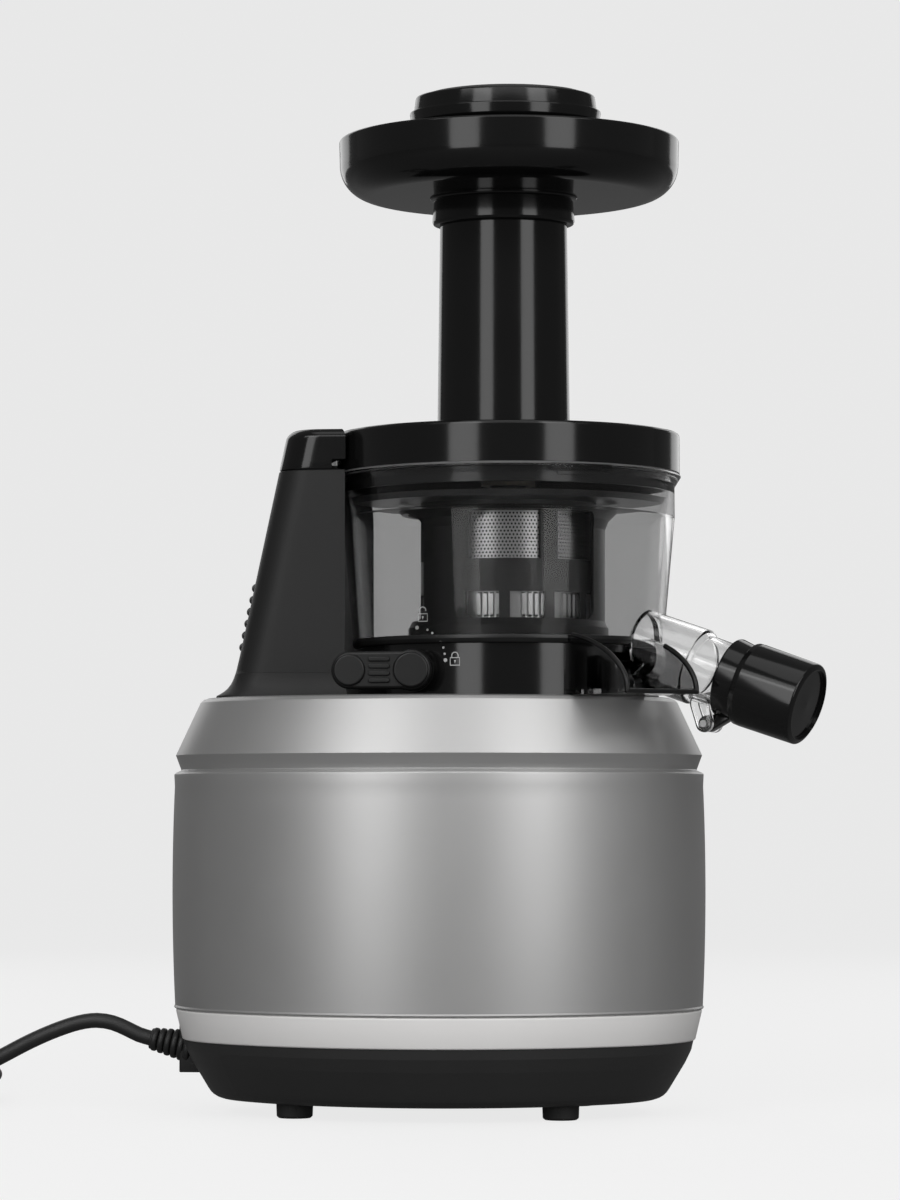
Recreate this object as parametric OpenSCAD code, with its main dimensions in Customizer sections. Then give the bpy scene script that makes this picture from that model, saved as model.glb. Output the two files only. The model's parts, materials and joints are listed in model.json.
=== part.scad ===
// Upright cold press juicer: a motor base with a rear column, and a screening
// drum with its lid, feed tube, tray and pusher. Sizes are in millimetres.
// X points to the juice spout, Y away from the viewer and Z up from the feet.

/* [Base] */
// Half length of the oval body at its widest, along X
base_half_x = 113.6; // [112:0.2:117]
// Height of the feet under the bottom pan
foot_h = 6; // [4:0.5:9]
// Radius of a foot
foot_r = 7.7; // [6:0.1:9]
// Distance of the feet from the base centre along X
foot_x = 55.5; // [50:0.5:61]
// Distance of the feet from the base centre along Y
foot_y = 43; // [38:0.5:46]
// Height of the bottom pan
pan_h = 25.5; // [24:0.5:28]
// Height of the pale trim band with its shadow gap
band_h = 13; // [11:0.5:16]
// Height of the body shell, from the band to the deck
body_h = 130; // [129:0.5:138]
// Height of the sloping shoulder at the top of the body
shoulder_h = 25.5; // [22:0.5:28]
// Wall of the base's shells
shell_wall = 2.6; // [2:0.1:3]
// Thickness of the deck plate
deck_t = 4; // [3:0.5:5]

/* [Column] */
// Half width of the column, along Y
column_half_y = 38; // [34:0.5:41]
// Depth of the column behind the bowl's rim, under its cap
column_depth = 22; // [21:0.2:25]
// Backward lean of the column's rear face, in degrees
column_lean = 12.1; // [9:0.1:13]
// Height of the column housing above the deck
column_h = 96.5; // [94:0.5:97]
// Height of the column's cap
column_cap_h = 17.2; // [16.2:0.2:22]
// Radius of the rear corners
column_corner = 14; // [9:0.5:18]
// Wall of the column housing
column_wall = 2.6; // [2:0.1:3.2]
// Gap between the column's hollow front and the drum
column_gap = 2.6; // [2:0.1:4]
// Number of grip ribs on the rear face
grip_ribs = 6; // [3:1:8]

/* [Drum] */
// Distance from the base centre forward to the drum axis
drum_x = 30; // [28:0.5:32]
// Distance from the rim's radius in to the skirt under the bowl
skirt_inset = 9.1; // [8.1:0.2:10.1]
// Height of the skirt with its top plate
skirt_h = 22.5; // [22:0.5:25]
// Outer radius of the bowl's rim and of the lid
rim_r = 73.1; // [72.6:0.1:75]
// Height of the bowl
bowl_h = 73; // [72.5:0.5:76]
// Wall of the bowl
bowl_wall = 2.6; // [2:0.1:3]
// Height of the lid with its gasket
lid_h = 18; // [17:0.5:22]
// Radius of the screen's frame
screen_r = 37.4; // [37:0.1:38.4]
// Outer radius of the spinning brush's posts
brush_r = 41.2; // [41:0.1:43]
// Radius of the screw's flights
screw_r = 34.2; // [32:0.1:34.4]
// Direction of the pulp chute round the drum, in degrees from X
chute_az = -46; // [-52:1:-44]
// Direction of the juice spout round the drum, in degrees from X
spout_az = -21; // [-21:1:-14]

/* [Spout] */
// Outer radius of the juice spout
spout_r = 16; // [15.5:0.1:16.4]
// Outer radius of the spout's neck
neck_r = 14.4; // [13.8:0.1:14.8]
// Wall of the spout
spout_wall = 2; // [1.6:0.1:2.4]
// Slope of the spout below the horizontal, in degrees
spout_tilt = 18.5; // [16:0.5:20]
// Length of the spout's wide part
spout_len = 31.6; // [30:0.2:34]
// Length of the spout's neck
neck_len = 19.8; // [18.6:0.2:22]
// Largest outer radius of the spout cap
cap_r = 17.5; // [17:0.1:18.4]
// Length of the spout cap's head
cap_len = 27.8; // [22:0.2:30]

/* [Feed] */
// Half length of the feed tube where it meets the lid
tube_half_x = 28.2; // [27:0.1:29]
// Height of the feed tube above the lid
tube_h = 104.3; // [94:0.1:110]
// Wall of the feed tube
tube_wall = 2.3; // [2:0.1:2.8]
// Radius of the tray
tray_r = 72.5; // [66:0.2:76]
// Depth of the tray, outside
tray_h = 24.2; // [22:0.2:30]
// Half length of the pusher's cap
pusher_half_x = 40.1; // [38:0.1:42]
// Height of the pusher's cap above the tray's floor
pusher_h = 42.7; // [40:0.1:48]
// Clearance between the pusher and the feed tube
pusher_gap = 0.5; // [0.4:0.05:0.8]

/* [Drive] */
// Gear module of the first stage
module_1 = 1; // [0.98:0.01:1.02]
// Gear module of the second stage
module_2 = 1.5; // [1.48:0.01:1.52]
// Gear module of the brush's planet stage
module_3 = 1.25; // [1.24:0.01:1.26]
// Distance from the motor axis to the drum axis
motor_reach = 65; // [63:0.5:67]
// Radius of the motor's stator
stator_r = 36; // [32:0.5:38]
// Height of the motor's stator
stator_h = 35; // [28:0.5:36]
// Radius of the output shaft
shaft_r = 7.5; // [7:0.1:8]
// Radial running clearance in bores that turn
run_gap = 0.05; // [0.02:0.01:0.09]

/* [Power cord] */
// Diameter of the cord
cord_d = 6.5; // [6:0.1:7]
// Turns of the stored coil in each layer
coil_turns = 2.25; // [2.25:0.5:2.75]

/* [Hidden] */
$fn = 96;
eps = 0.01;

// Heights of the base, from the floor up
pan_z = foot_h;
band_z = pan_z + pan_h;
body_z = band_z + band_h;
deck_z = body_z + body_h;
ledge_z = deck_z - deck_t;
shoulder_z = deck_z - shoulder_h;
deck_half_x = base_half_x - 12.4;
pan_bottom_x = base_half_x - 22.6;
pan_top_x = base_half_x - 5.1;
seat_gap = 0.3;

// Heights of the drum and of what stands on it
bowl_z = deck_z + skirt_h;
floor_t = 3;
bowl_floor_z = bowl_z + floor_t;
lid_z = bowl_z + bowl_h;
gasket_t = 1;
lid_top_z = lid_z + lid_h;
lid_plate_t = 3;
tray_z = lid_top_z + tube_h - 2.5;
tray_floor_z = tray_z + 2.5;
skirt_r = rim_r - skirt_inset;
column_rear = rim_r + column_depth;
bowl_r = rim_r - 6.2;
base_c = 36.824;
tube_c = 10.6124;
pusher_c = 13.6222;
neck_bend_z = lid_z - 17;
cone_top_z = lid_z - 5.5;

// Screen and brush
screen_bottom_z = bowl_floor_z + 6.2;
screen_flange_z = lid_z - 12.5;
brush_post_top = lid_z - 23;
screen_ribs = 12;

// Column
column_top_z = deck_z + column_h;
column_cap_z = column_top_z + column_cap_h;
column_front_r = rim_r + column_gap;
column_slope = tan(column_lean);
function column_rear_x(z) = drum_x - column_rear + (z - column_top_z) * column_slope;

// Output shaft, idler and motor axes in plan
teeth_pinion = 12;
teeth_idler = 60;
teeth_output = 48;
stage_1 = module_1 * (teeth_pinion + teeth_idler) / 2;
stage_2 = module_2 * (teeth_pinion + teeth_output) / 2;
motor_x = drum_x - motor_reach;
idler_dx = (stage_1 * stage_1 - stage_2 * stage_2 + motor_reach * motor_reach) / (2 * motor_reach);
idler_x = motor_x + idler_dx;
idler_y = sqrt(stage_1 * stage_1 - idler_dx * idler_dx);
mesh_1_az = atan2(idler_y, idler_dx);
mesh_2_az = atan2(-idler_y, drum_x - idler_x);

// Heights in the gearbox, hung under the deck
cover_top_z = ledge_z - 14.5;
cover_t = 4;
case_top_z = cover_top_z - cover_t;
case_floor_t = 3;
case_z = case_top_z - 34;
case_floor_z = case_z + case_floor_t;
gear_1_z = case_floor_z + 3;
gear_1_h = 8;
gear_2_z = gear_1_z + gear_1_h + 2;
gear_2_h = 14;
case_wall = 3;
output_case_r = module_2 * teeth_output / 2 + 6;
idler_case_r = module_1 * teeth_idler / 2 + 6;
motor_case_r = 18;
ear_reach = 3.4;
case_ears = [for (e = [[drum_x, 0, output_case_r, 52], [drum_x, 0, output_case_r, -52],
    [motor_x, 0, motor_case_r, -110], [idler_x, idler_y, idler_case_r, 140]])
    [e[0] + (e[2] + ear_reach) * cos(e[3]), e[1] + (e[2] + ear_reach) * sin(e[3])]];
ear_r = 6;
screw_hole_r = 1.7;

// Bearings: bore radius, outer radius and width
small_bearing = [4, 11, 7];
large_bearing = [shaft_r, 16, 9];
motor_shaft_r = 4;
motor_top_z = case_z - 0.3;
bracket_t = 5.7;
stator_z = motor_top_z - 57.7;
motor_bottom_z = stator_z - 16;

// Planet stage inside the bowl
teeth_sun = 16;
teeth_ring = 48;
planet_reach = module_3 * teeth_sun;
planet_az = chute_az + 180;
mesh_3_z = bowl_floor_z + 0.6;
mesh_3_h = 4.8;

// Pulp chute and window
chute_half_y = 19.7;
chute_wall = 2.2;
chute_reach = 100;
chute_z = deck_z + 0.7;
duct_half_y = 14;
duct_z0 = deck_z + 4;
duct_z1 = duct_z0 + 15;

// Juice spout: its axis starts at spout_start from the drum axis
spout_start = 60;
spout_z = bowl_z - 0.1;
hinge_s = 42;
hinge_drop = 21;
cap_start = spout_len + neck_len - 6.5;
cap_sleeve = 8.7;
cap_sleeve_r = neck_r + 2;
hinge_pin_r = 1.5;
function spout_point(s, up) = [spout_start + s * cos(spout_tilt) + up * sin(spout_tilt),
    spout_z - s * sin(spout_tilt) + up * cos(spout_tilt)];

// Pulp lever: its pin lies along Y through the skirt
lever_x = drum_x - 34.5;
lever_z = deck_z + 11;
lever_face_y = -61.5;
lever_t = 5;
lever_hub_r = 9;
lever_len = 33;
lever_pin_r = 2.5;
lever_boss_y = -59;

// Switch on the column's far side
switch_z = deck_z + 50.5;
switch_x = column_rear_x(switch_z) + 21;
switch_pin_r = 1;

// Cord's gland, boot and coil
gland_z = pan_z + 20.9;
boot_tilt = 11.4;
boot_len = 16.6;
coil_pitch = 7.1;
coil_mean_r = 37.5;
coil_lift = 0.8;

// The row's origin lies under the middle of the object's box
row_min_x = -base_half_x;
cap_end = cap_start + cap_sleeve + cap_len;
cap_end_r = 4;
cap_lean = cos(spout_tilt) * cos(spout_az);
row_max_x = drum_x + spout_point(cap_end - cap_end_r, 0)[0] * cos(spout_az)
    + (cap_r - cap_end_r) * sqrt(1 - cap_lean * cap_lean) + cap_end_r;
frame_shift_x = (row_min_x + row_max_x) / 2;

// Points of an arc about [cx, cz], in the plane of an outline
function arc(cx, cz, r, from, to, n = 6) =
    [for (i = [0:n]) let (a = from + (to - from) * i / n) [cx + r * cos(a), cz + r * sin(a)]];

// Points in reverse order, moved sideways by dx
function back(points, dx = 0) =
    [for (i = [len(points) - 1:-1:0]) [points[i][0] + dx, points[i][1]]];

module placed() { translate([-frame_shift_x, 0, 0]) children(); }
module at_drum(az = 0) { translate([drum_x, 0, 0]) rotate([0, 0, az]) children(); }
module disc(r, z0, z1) { translate([0, 0, z0]) cylinder(r = r, h = z1 - z0); }
module ring(r_in, r_out, z0, z1) {
    rotate_extrude() translate([r_in, z0]) square([r_out - r_in, z1 - z0]);
}

// An oval of four quarter arcs with the half length a, whose arc centres lie at the distance c
// from the middle, so the arcs meet on lines at 45 degrees
function oval_side_r(a, c) = a - c + sqrt(2) * c;
function oval_half_y(a, c) = a - (2 - sqrt(2)) * c;
module oval_plan(a, c, inset = 0) {
    joint = c + (a - c - inset) * sqrt(0.5);
    intersection() {
        translate([0, c]) circle(r = oval_side_r(a, c) - inset, $fn = 180);
        translate([0, -c]) circle(r = oval_side_r(a, c) - inset, $fn = 180);
        translate([-joint, -a]) square([2 * joint, 2 * a]);
    }
    for (s = [-1, 1]) translate([s * c, 0]) circle(r = a - c - inset);
}
// Sweeps an outline of [half length, height] points round the oval; all its points lie
// further out than the end arcs' centres
module oval_turned(a, c, outline) {
    points = [for (p = outline) [round(p[0] * 1000) / 1000, p[1]]];
    for (turn = [0, 180]) rotate([0, 0, turn]) {
        translate([c, 0, 0]) rotate_extrude(angle = 90, start = -45)
            polygon([for (p = points) [p[0] - c, p[1]]]);
        translate([0, -c, 0]) rotate_extrude(angle = 90, start = 45)
            polygon([for (p = points) [p[0] - a + oval_side_r(a, c), p[1]]]);
    }
}
module along_y(x, z, y0, y1, r) {
    translate([x, y0, z]) rotate([-90, 0, 0]) cylinder(r = r, h = y1 - y0);
}

// Involute gear outline with its tooth centred on X; shift moves the profile outward
function involute(r, base) = r <= base ? 0 : sqrt(r * r / (base * base) - 1) * 180 / PI - acos(base / r);
function tooth_half(m, z, shift, slack, r) = let (pitch = m * z / 2, base = pitch * cos(20))
    90 / z + (2 * shift * tan(20) / z - slack / pitch) * 180 / PI
    + involute(pitch, base) - involute(r, base);
module gear_outline(m, z, shift = 0, slack = 0.12, tip = 0.95, root = 1.25) {
    pitch = m * z / 2;
    radii = [pitch + (shift - root) * m, pitch + shift * m * 0.5, pitch + (shift + tip) * m];
    polygon([for (i = [0:z - 1]) each [
        for (side = [-1, 1]) for (k = side < 0 ? [0, 1, 2] : [2, 1, 0])
            let (a = 360 * i / z + side * tooth_half(m, z, shift, slack, radii[k]))
                radii[k] * [cos(a), sin(a)]]]);
}

// Outlines of the base's shells, from low to high, as [half length, height]
function pan_outline(inset) = concat(arc(pan_bottom_x, pan_z + 8, 8 - inset, -90, -28, 5),
    [[pan_top_x - 3.7 - inset, pan_z + pan_h * 0.6], [pan_top_x - 1.1 - inset, pan_z + pan_h * 0.81]]);
function bulge(z) = base_half_x - 0.0005 * pow(z - (body_z + 51.5), 2);
function body_outline(inset) = concat(
    [for (i = [0:6]) let (z = body_z + (shoulder_z - 9 - body_z) * i / 6) [bulge(z) - inset, z]],
    [[base_half_x - 1.7 - inset, shoulder_z - 6], [base_half_x - 5.2 - inset, shoulder_z - 1.4],
        [base_half_x - 6.4 - inset, shoulder_z + 1]]);

module base_housing() color("silver") {
    outer = concat(body_outline(0), [[deck_half_x + 0.3, deck_z - 1.2], [deck_half_x - 0.8, deck_z]]);
    inner = concat(body_outline(shell_wall), [[deck_half_x - shell_wall, ledge_z - 2.5],
        [deck_half_x - 9.2, ledge_z - 2.5], [deck_half_x - 9.2, ledge_z],
        [deck_half_x - 2.7, ledge_z], [deck_half_x - 2.7, deck_z]]);
    oval_turned(base_half_x, base_c, concat(outer, back(inner)));
}
module trim_band() color("gainsboro") difference() {
    oval_turned(base_half_x, base_c, [[pan_top_x - 2.6, band_z], [pan_top_x + 0.1, band_z],
        [pan_top_x + 3, body_z - 0.9], [pan_top_x + 2.4, body_z - 0.5], [pan_top_x + 1.6, body_z - 0.5],
        [pan_top_x + 1.6, body_z], [pan_top_x + 0.6, body_z], [pan_top_x + 0.6, body_z + 3],
        [pan_top_x - 1, body_z + 3], [pan_top_x - 1, body_z - 1]]);
    gland_cut();
}
module pan_cuts() {
    for (x = [-30:10:30]) translate([x - 2, -22, pan_z - 1]) cube([4, 44, 6]);
    for (p = pan_posts()) translate([p[0], p[1], pan_z - 1]) {
        cylinder(r = 4, h = 9);
        cylinder(r = screw_hole_r, h = 40);
    }
    for (sx = [-1, 1], sy = [-1, 1]) translate([sx * foot_x, sy * foot_y, pan_z - 1]) cylinder(r = 3, h = 5);
}
function pan_posts() = [for (sx = [-1, 1], sy = [-1, 1]) [sx * (stator_r - motor_x + 3), 28 * sy]];
module bottom_pan() color("#26272a") difference() {
    union() {
        oval_turned(base_half_x, base_c, concat([[pan_bottom_x - 3, pan_z]], pan_outline(0),
            [[pan_top_x, band_z], [pan_top_x - 2.7, band_z], [pan_top_x - 2.7, band_z + 3],
            [pan_top_x - 4.3, band_z + 3], [pan_top_x - 4.3, band_z - 1]], back(pan_outline(shell_wall)),
            [[pan_bottom_x - 3, pan_z + shell_wall]]));
        translate([0, 0, pan_z]) linear_extrude(shell_wall)
            oval_plan(base_half_x, base_c, base_half_x - pan_bottom_x + 1);
        for (p = pan_posts()) translate([p[0], p[1], pan_z + 1]) cylinder(r = 6, h = pan_h - 1);
        board_rails();
    }
    pan_cuts();
    gland_cut();
}
module board_rails() {
    for (y = [-34, 30], x = [board_x - 3, board_x + board_t + 0.15])
        translate([x, y, pan_z + 1]) cube([2.85, 4, 9]);
}
module gland_cut() { translate([-base_half_x - 5, -6.2, pan_z + 9.8]) cube([25, 12.4, 23.1]); }
module feet() color("#1c1c1e")
    for (sx = [-1, 1], sy = [-1, 1]) translate([sx * foot_x, sy * foot_y, 0]) {
        rotate_extrude() polygon([[0, 0], [foot_r - 1.7, 0], [foot_r - 0.8, 0.8], [foot_r, foot_h], [0, foot_h]]);
        translate([0, 0, foot_h - 1]) cylinder(r = 2.9, h = shell_wall + 3);
    }
module pan_screws() color("#8a8a8c") for (p = pan_posts()) translate([p[0], p[1], pan_z + 5]) {
    cylinder(r = 3.4, h = 3);
    cylinder(r = screw_hole_r - 0.1, h = pan_h + 6);
}
module wire_hole() { translate([drum_x - column_rear + 12, -11, ledge_z - 1]) cube([15, 22, deck_t + 2]); }
module top_deck() color("#1d1d1f") {
    difference() {
        union() {
            translate([0, 0, ledge_z]) linear_extrude(deck_t)
                oval_plan(base_half_x, base_c, base_half_x - deck_half_x + 2.9);
            at_drum() ring(20, 24, deck_z - 0.1, deck_z + 5.5);
            at_drum() disc(15, ledge_z, deck_z + 3.5);
            for (p = case_ears) translate([p[0], p[1], 0]) disc(ear_r - 0.5, cover_top_z, ledge_z + 0.1);
            for (p = pan_posts()) translate([p[0], p[1], 0]) disc(4.8, band_z + 0.2, ledge_z + 0.1);
        }
        at_drum() disc(12, ledge_z - 1, deck_z + 5);
        wire_hole();
        for (p = case_ears) translate([p[0], p[1], 0]) disc(screw_hole_r, cover_top_z - 1, cover_top_z + 12);
        for (p = pan_posts()) translate([p[0], p[1], 0]) disc(screw_hole_r, band_z, band_z + 14);
    }
}

// Leaning column: a rounded plan, open at the front, where a cylinder about the drum cuts it
module column_plan(inset, flare_x = 0, flare_y = 0) {
    hy = column_half_y + flare_y - inset;
    r = max(column_corner - inset, 1);
    translate([inset - flare_x, 0]) {
        translate([r, -hy]) square([90, 2 * hy]);
        translate([0, r - hy]) square([r + 1, 2 * (hy - r)]);
        for (s = [-1, 1]) translate([r, s * (hy - r)]) circle(r = r, $fn = 32);
    }
}
// A column plan drawn out along the lean and kept between two heights
module column_prism(inset, z0, z1) {
    intersection() {
        translate([column_rear_x(0), 0, 0]) rotate([0, column_lean, 0]) translate([0, 0, -60])
            linear_extrude(400) column_plan(inset);
        translate([-160, -80, z0]) cube([200, 160, z1 - z0]);
    }
}
// Heights, outward flares to the rear and to the sides of the column's foot
foot_flare = [[0, 9.6, 3.2], [2, 5, 2.2], [4.5, 2.4, 1.2], [8.5, 0.4, 0.1]];
module foot_slice(i) {
    z = deck_z + foot_flare[i][0];
    translate([column_rear_x(z), 0, z]) linear_extrude(eps) column_plan(0, foot_flare[i][1], foot_flare[i][2]);
}
module column_housing() color("#222326") {
    difference() {
        union() {
            column_prism(0, deck_z, column_top_z);
            intersection() {
                for (i = [0:2]) hull() {
                    foot_slice(i);
                    foot_slice(i + 1);
                }
                translate([0, 0, deck_z]) linear_extrude(12)
                    oval_plan(base_half_x, base_c, base_half_x - deck_half_x + 0.8);
            }
            for (i = [0:grip_ribs - 1]) grip_rib(deck_z + 22.1 + 5 * i);
        }
        intersection() {
            column_prism(column_wall, deck_z - 1, column_top_z + 1);
            difference() {
                translate([-160, -80, deck_z - 1]) cube([220, 160, column_h + 2]);
                at_drum() disc(column_front_r + column_wall, deck_z - 2, column_top_z + 2);
            }
        }
        at_drum() disc(column_front_r, deck_z - 1, column_top_z + 1);
        switch_hole();
    }
}
module grip_rib(z) {
    x = column_rear_x(z) + 0.5;
    along_y(x, z, -26, 26, 2);
    for (y = [-26, 26]) translate([x, y, z]) sphere(r = 2);
}
cap_edge = 4.5;
module column_cap() color("#0c0c0e") {
    difference() {
        hull() for (i = [-1:4]) {
            a = i < 0 ? 0 : 90 * i / 4;
            z = i < 0 ? column_top_z : column_cap_z - cap_edge + cap_edge * sin(a) - eps;
            translate([column_rear_x(z), 0, z]) linear_extrude(eps) column_plan(cap_edge * (1 - cos(a)), $fn = 32);
        }
        at_drum() disc(column_front_r - 0.2, column_top_z - 1, column_cap_z + 1);
        latch_slot();
        translate([column_rear_x(column_top_z) + 9, -16, column_top_z - 1]) cube([7, 34, 9.5]);
    }
    difference() {
        column_prism(column_wall + 0.3, column_top_z - 5, column_top_z + 0.1);
        column_prism(column_wall + 2.3, column_top_z - 6, column_top_z + 1);
        translate([-160, -80, column_top_z - 7]) cube([220, 160, 9.5]);
    }
}
// Slot that the lid's latch tab turns into, open toward the viewer
module latch_slot() {
    at_drum() difference() {
        disc(tab_r + 1.6, lid_z + 1, lid_z + 5.2);
        translate([-120, 12, lid_z]) cube([240, 100, 8]);
    }
}
module interlock_sensor() color("#30343a")
    translate([drum_x - tab_r - 7.1, -14, column_top_z - 3]) cube([5, 30, 10.8]);

module switch_hole() {
    translate([switch_x - 7, column_half_y - 6, switch_z - 10.5]) cube([14, 12, 21]);
}
module switch_bezel() color("#303134") {
    y = column_half_y;
    difference() {
        union() {
            translate([switch_x - 8.5, y, switch_z - 12]) cube([17, 1.4, 24]);
            translate([switch_x - 6.9, y - 12, switch_z - 10.4]) cube([13.8, 12.1, 20.8]);
        }
        translate([switch_x - 5.7, y - 10.5, switch_z - 9.2]) cube([11.4, 15, 18.4]);
        translate([switch_x - 7.5, y - 1.5, switch_z]) rotate([0, 90, 0]) cylinder(r = switch_pin_r + run_gap, h = 15, $fn = 24);
    }
}
module switch_rocker() color("#3a3b3f") {
    y = column_half_y - 1.5;
    translate([switch_x, y, switch_z]) {
        translate([-5.4, 0, 0]) rotate([90, 0, 90]) linear_extrude(10.8)
            polygon([[-7, -2], [0.4, -8.2], [4.6, -8.3], [2.6, 0], [4.6, 8.3], [0.4, 8.2], [-7, 2]]);
        rotate([0, 90, 0]) translate([0, 0, -6.6]) cylinder(r = switch_pin_r, h = 13.2, $fn = 24);
    }
}

// Motor, hung under the gearbox on its two brackets
module at_motor() { translate([motor_x, 0, 0]) children(); }
bracket_bolt = [stator_r - 8, 6];
module motor_stator() color("#8f9296") at_motor() difference() {
    disc(stator_r, stator_z, stator_z + stator_h);
    disc(21.2, stator_z - 1, stator_z + stator_h + 1);
    for (a = [0:30:330]) rotate([0, 0, a]) translate([21, -2.6, stator_z - 1]) cube([8, 5.2, stator_h + 2]);
    for (a = [45:90:315]) rotate([0, 0, a]) translate([stator_r - 4, 0, 0]) disc(2, stator_z - 1, stator_z + stator_h + 1);
}
module motor_windings() color("#b3692c") at_motor() {
    for (z = [stator_z - 8, stator_z + stator_h + 0.3]) ring(22, stator_r - 9.5, z, z + 7.7);
}
module motor_brackets() color("#5b5e63") at_motor() for (top = [0, 1]) {
    z = top ? motor_top_z - bracket_t : stator_z - 15.5;
    difference() {
        union() {
            disc(14, z, z + bracket_t);
            for (a = [45:90:315]) rotate([0, 0, a]) {
                translate([8, -5, z]) cube([stator_r - 12, 10, bracket_t]);
                translate([stator_r - 4, 0, 0]) disc(5, min(z, stator_z + stator_h), max(z + bracket_t, stator_z));
            }
        }
        disc(small_bearing[1], top ? z - 1 : z + 1.5, top ? z + bracket_t - 1.5 : z + bracket_t + 1);
        disc(6, z - 1, z + bracket_t + 1);
        for (a = [45:90:315]) rotate([0, 0, a]) translate([stator_r - 4, 0, 0]) disc(2, z - 30, z + 30);
    }
}
bearing_gap = 0.02;
module bearing(size, z) {
    ring(size[0], size[0] + 2, z, z + size[2]);
    ring(size[0] + 2, size[1] - 2, z + 0.6, z + size[2] - 0.6);
    ring(size[1] - 2, size[1], z, z + size[2]);
}
top_bearing_z = motor_top_z - 1.5 - small_bearing[2];
low_bearing_z = stator_z - 14;
module motor_bearings() color("#c9cbce") at_motor() {
    for (z = [top_bearing_z, low_bearing_z]) ring(motor_shaft_r + run_gap, small_bearing[1], z, z + small_bearing[2]);
}
module rotor() color("#9a9da1") at_motor() {
    disc(motor_shaft_r, low_bearing_z - 14, gear_1_z + gear_1_h);
    disc(20.5, stator_z + 1, stator_z + stator_h - 1);
    translate([0, 0, gear_1_z]) rotate([0, 0, mesh_1_az + rotor_phase]) linear_extrude(gear_1_h)
        gear_outline(module_1, teeth_pinion, 0.3);
}
module cooling_fan() color("#2c3138") at_motor() {
    z = low_bearing_z - 12;
    difference() {
        union() {
            disc(8, z, z + 8);
            for (a = [0:40:320]) rotate([0, 0, a]) translate([7, 0, z]) rotate([0, 0, 0]) cube([24, 1.6, 8]);
            disc(30, z + 7, z + 8);
        }
        disc(motor_shaft_r, z - 1, z + 9);
    }
}
// A driven gear's tooth faces a gap of its partner along the line of centres
rotor_phase = 0;
idler_phase_1 = 180 + 180 / teeth_idler;

// Gearbox, hung from the deck's bosses
module case_outline(grow = 0) {
    hull() {
        translate([drum_x, 0]) circle(r = output_case_r + grow, $fn = 64);
        translate([idler_x, idler_y]) circle(r = idler_case_r + grow, $fn = 64);
        translate([motor_x, 0]) circle(r = motor_case_r + grow, $fn = 64);
    }
}
module ear_holes(z0, z1) {
    for (p = case_ears) translate([p[0], p[1], 0]) disc(screw_hole_r + 0.2, z0, z1);
}
module gearbox_case() color("#6d7075") difference() {
    union() {
        translate([0, 0, case_z]) linear_extrude(case_top_z - case_z) case_outline();
        for (p = case_ears) translate([p[0], p[1], 0]) disc(ear_r, case_top_z - 6, case_top_z);
    }
    difference() {
        translate([0, 0, case_floor_z]) linear_extrude(case_top_z - case_z) case_outline(-case_wall);
        at_drum() disc(13.4, case_z, gear_2_z - 3.4);
        translate([idler_x, idler_y, 0]) disc(6, case_z, gear_1_z - 0.4);
    }
    at_drum() disc(small_bearing[1], case_floor_z, gear_2_z);
    at_drum() disc(6, case_z - 1, gear_2_z);
    at_motor() disc(motor_shaft_r + 4, case_z - 1, case_floor_z + 1);
    translate([idler_x, idler_y, 0]) disc(idler_axle_r, case_z - 1, gear_1_z);
    ear_holes(case_z - 1, case_top_z + 1);
}
module gearbox_cover() color("#7c7f84") difference() {
    union() {
        translate([0, 0, case_top_z]) linear_extrude(cover_t) case_outline();
        for (p = case_ears) translate([p[0], p[1], 0]) disc(ear_r, case_top_z, cover_top_z);
        at_drum() disc(19.5, case_top_z, cover_top_z + 5.5);
        translate([idler_x, idler_y, 0]) disc(7, case_top_z, cover_top_z + 3);
    }
    at_drum() disc(large_bearing[1], case_top_z + 0.6 - 1, cover_top_z + 6);
    translate([idler_x, idler_y, 0]) disc(idler_axle_r, case_top_z - 1, cover_top_z + 1.5);
    ear_holes(case_top_z - 1, cover_top_z + 1);
}
module gearbox_screws() color("#a9abae") for (p = case_ears) translate([p[0], p[1], 0]) {
    disc(3.2, case_top_z - 8.6, case_top_z - 6);
    disc(screw_hole_r - 0.1, case_top_z - 6.1, cover_top_z + 11);
}
idler_axle_r = 3;
module idler_axle() color("#b9bbbe") translate([idler_x, idler_y, 0])
    disc(idler_axle_r, case_z + 0.5, cover_top_z + 1.3);
module idler_gear() color("#d7c9a4") translate([idler_x, idler_y, 0]) difference() {
    union() {
        translate([0, 0, gear_1_z]) rotate([0, 0, mesh_1_az + idler_phase_1]) linear_extrude(gear_1_h)
            gear_outline(module_1, teeth_idler, -0.3);
        translate([0, 0, gear_1_z + gear_1_h - 0.1]) rotate([0, 0, mesh_2_az]) linear_extrude(gear_2_z + gear_2_h - gear_1_z - gear_1_h)
            gear_outline(module_2, teeth_pinion, 0.3);
    }
    disc(idler_axle_r + run_gap, gear_1_z - 1, gear_2_z + gear_2_h + 1);
}
module output_gear() color("#e3d9bd") at_drum() difference() {
    translate([0, 0, gear_2_z]) rotate([0, 0, mesh_2_az + 180 + 180 / teeth_output]) linear_extrude(gear_2_h)
        gear_outline(module_2, teeth_output, -0.3);
    disc(shaft_r, gear_2_z - 1, gear_2_z + gear_2_h + 1);
}
hex_r = 5.6;
lower_bearing_z = gear_2_z - 3.6 - small_bearing[2];
upper_bearing_z = case_top_z + 0.6;
module output_shaft() color("#a2a5a9") at_drum() {
    disc(small_bearing[0], lower_bearing_z, gear_2_z - 2);
    disc(shaft_r, gear_2_z - 2.5, deck_z + 6);
    translate([0, 0, deck_z + 5]) cylinder(r = hex_r, h = bowl_floor_z + 11 - deck_z - 5, $fn = 6);
}
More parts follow.
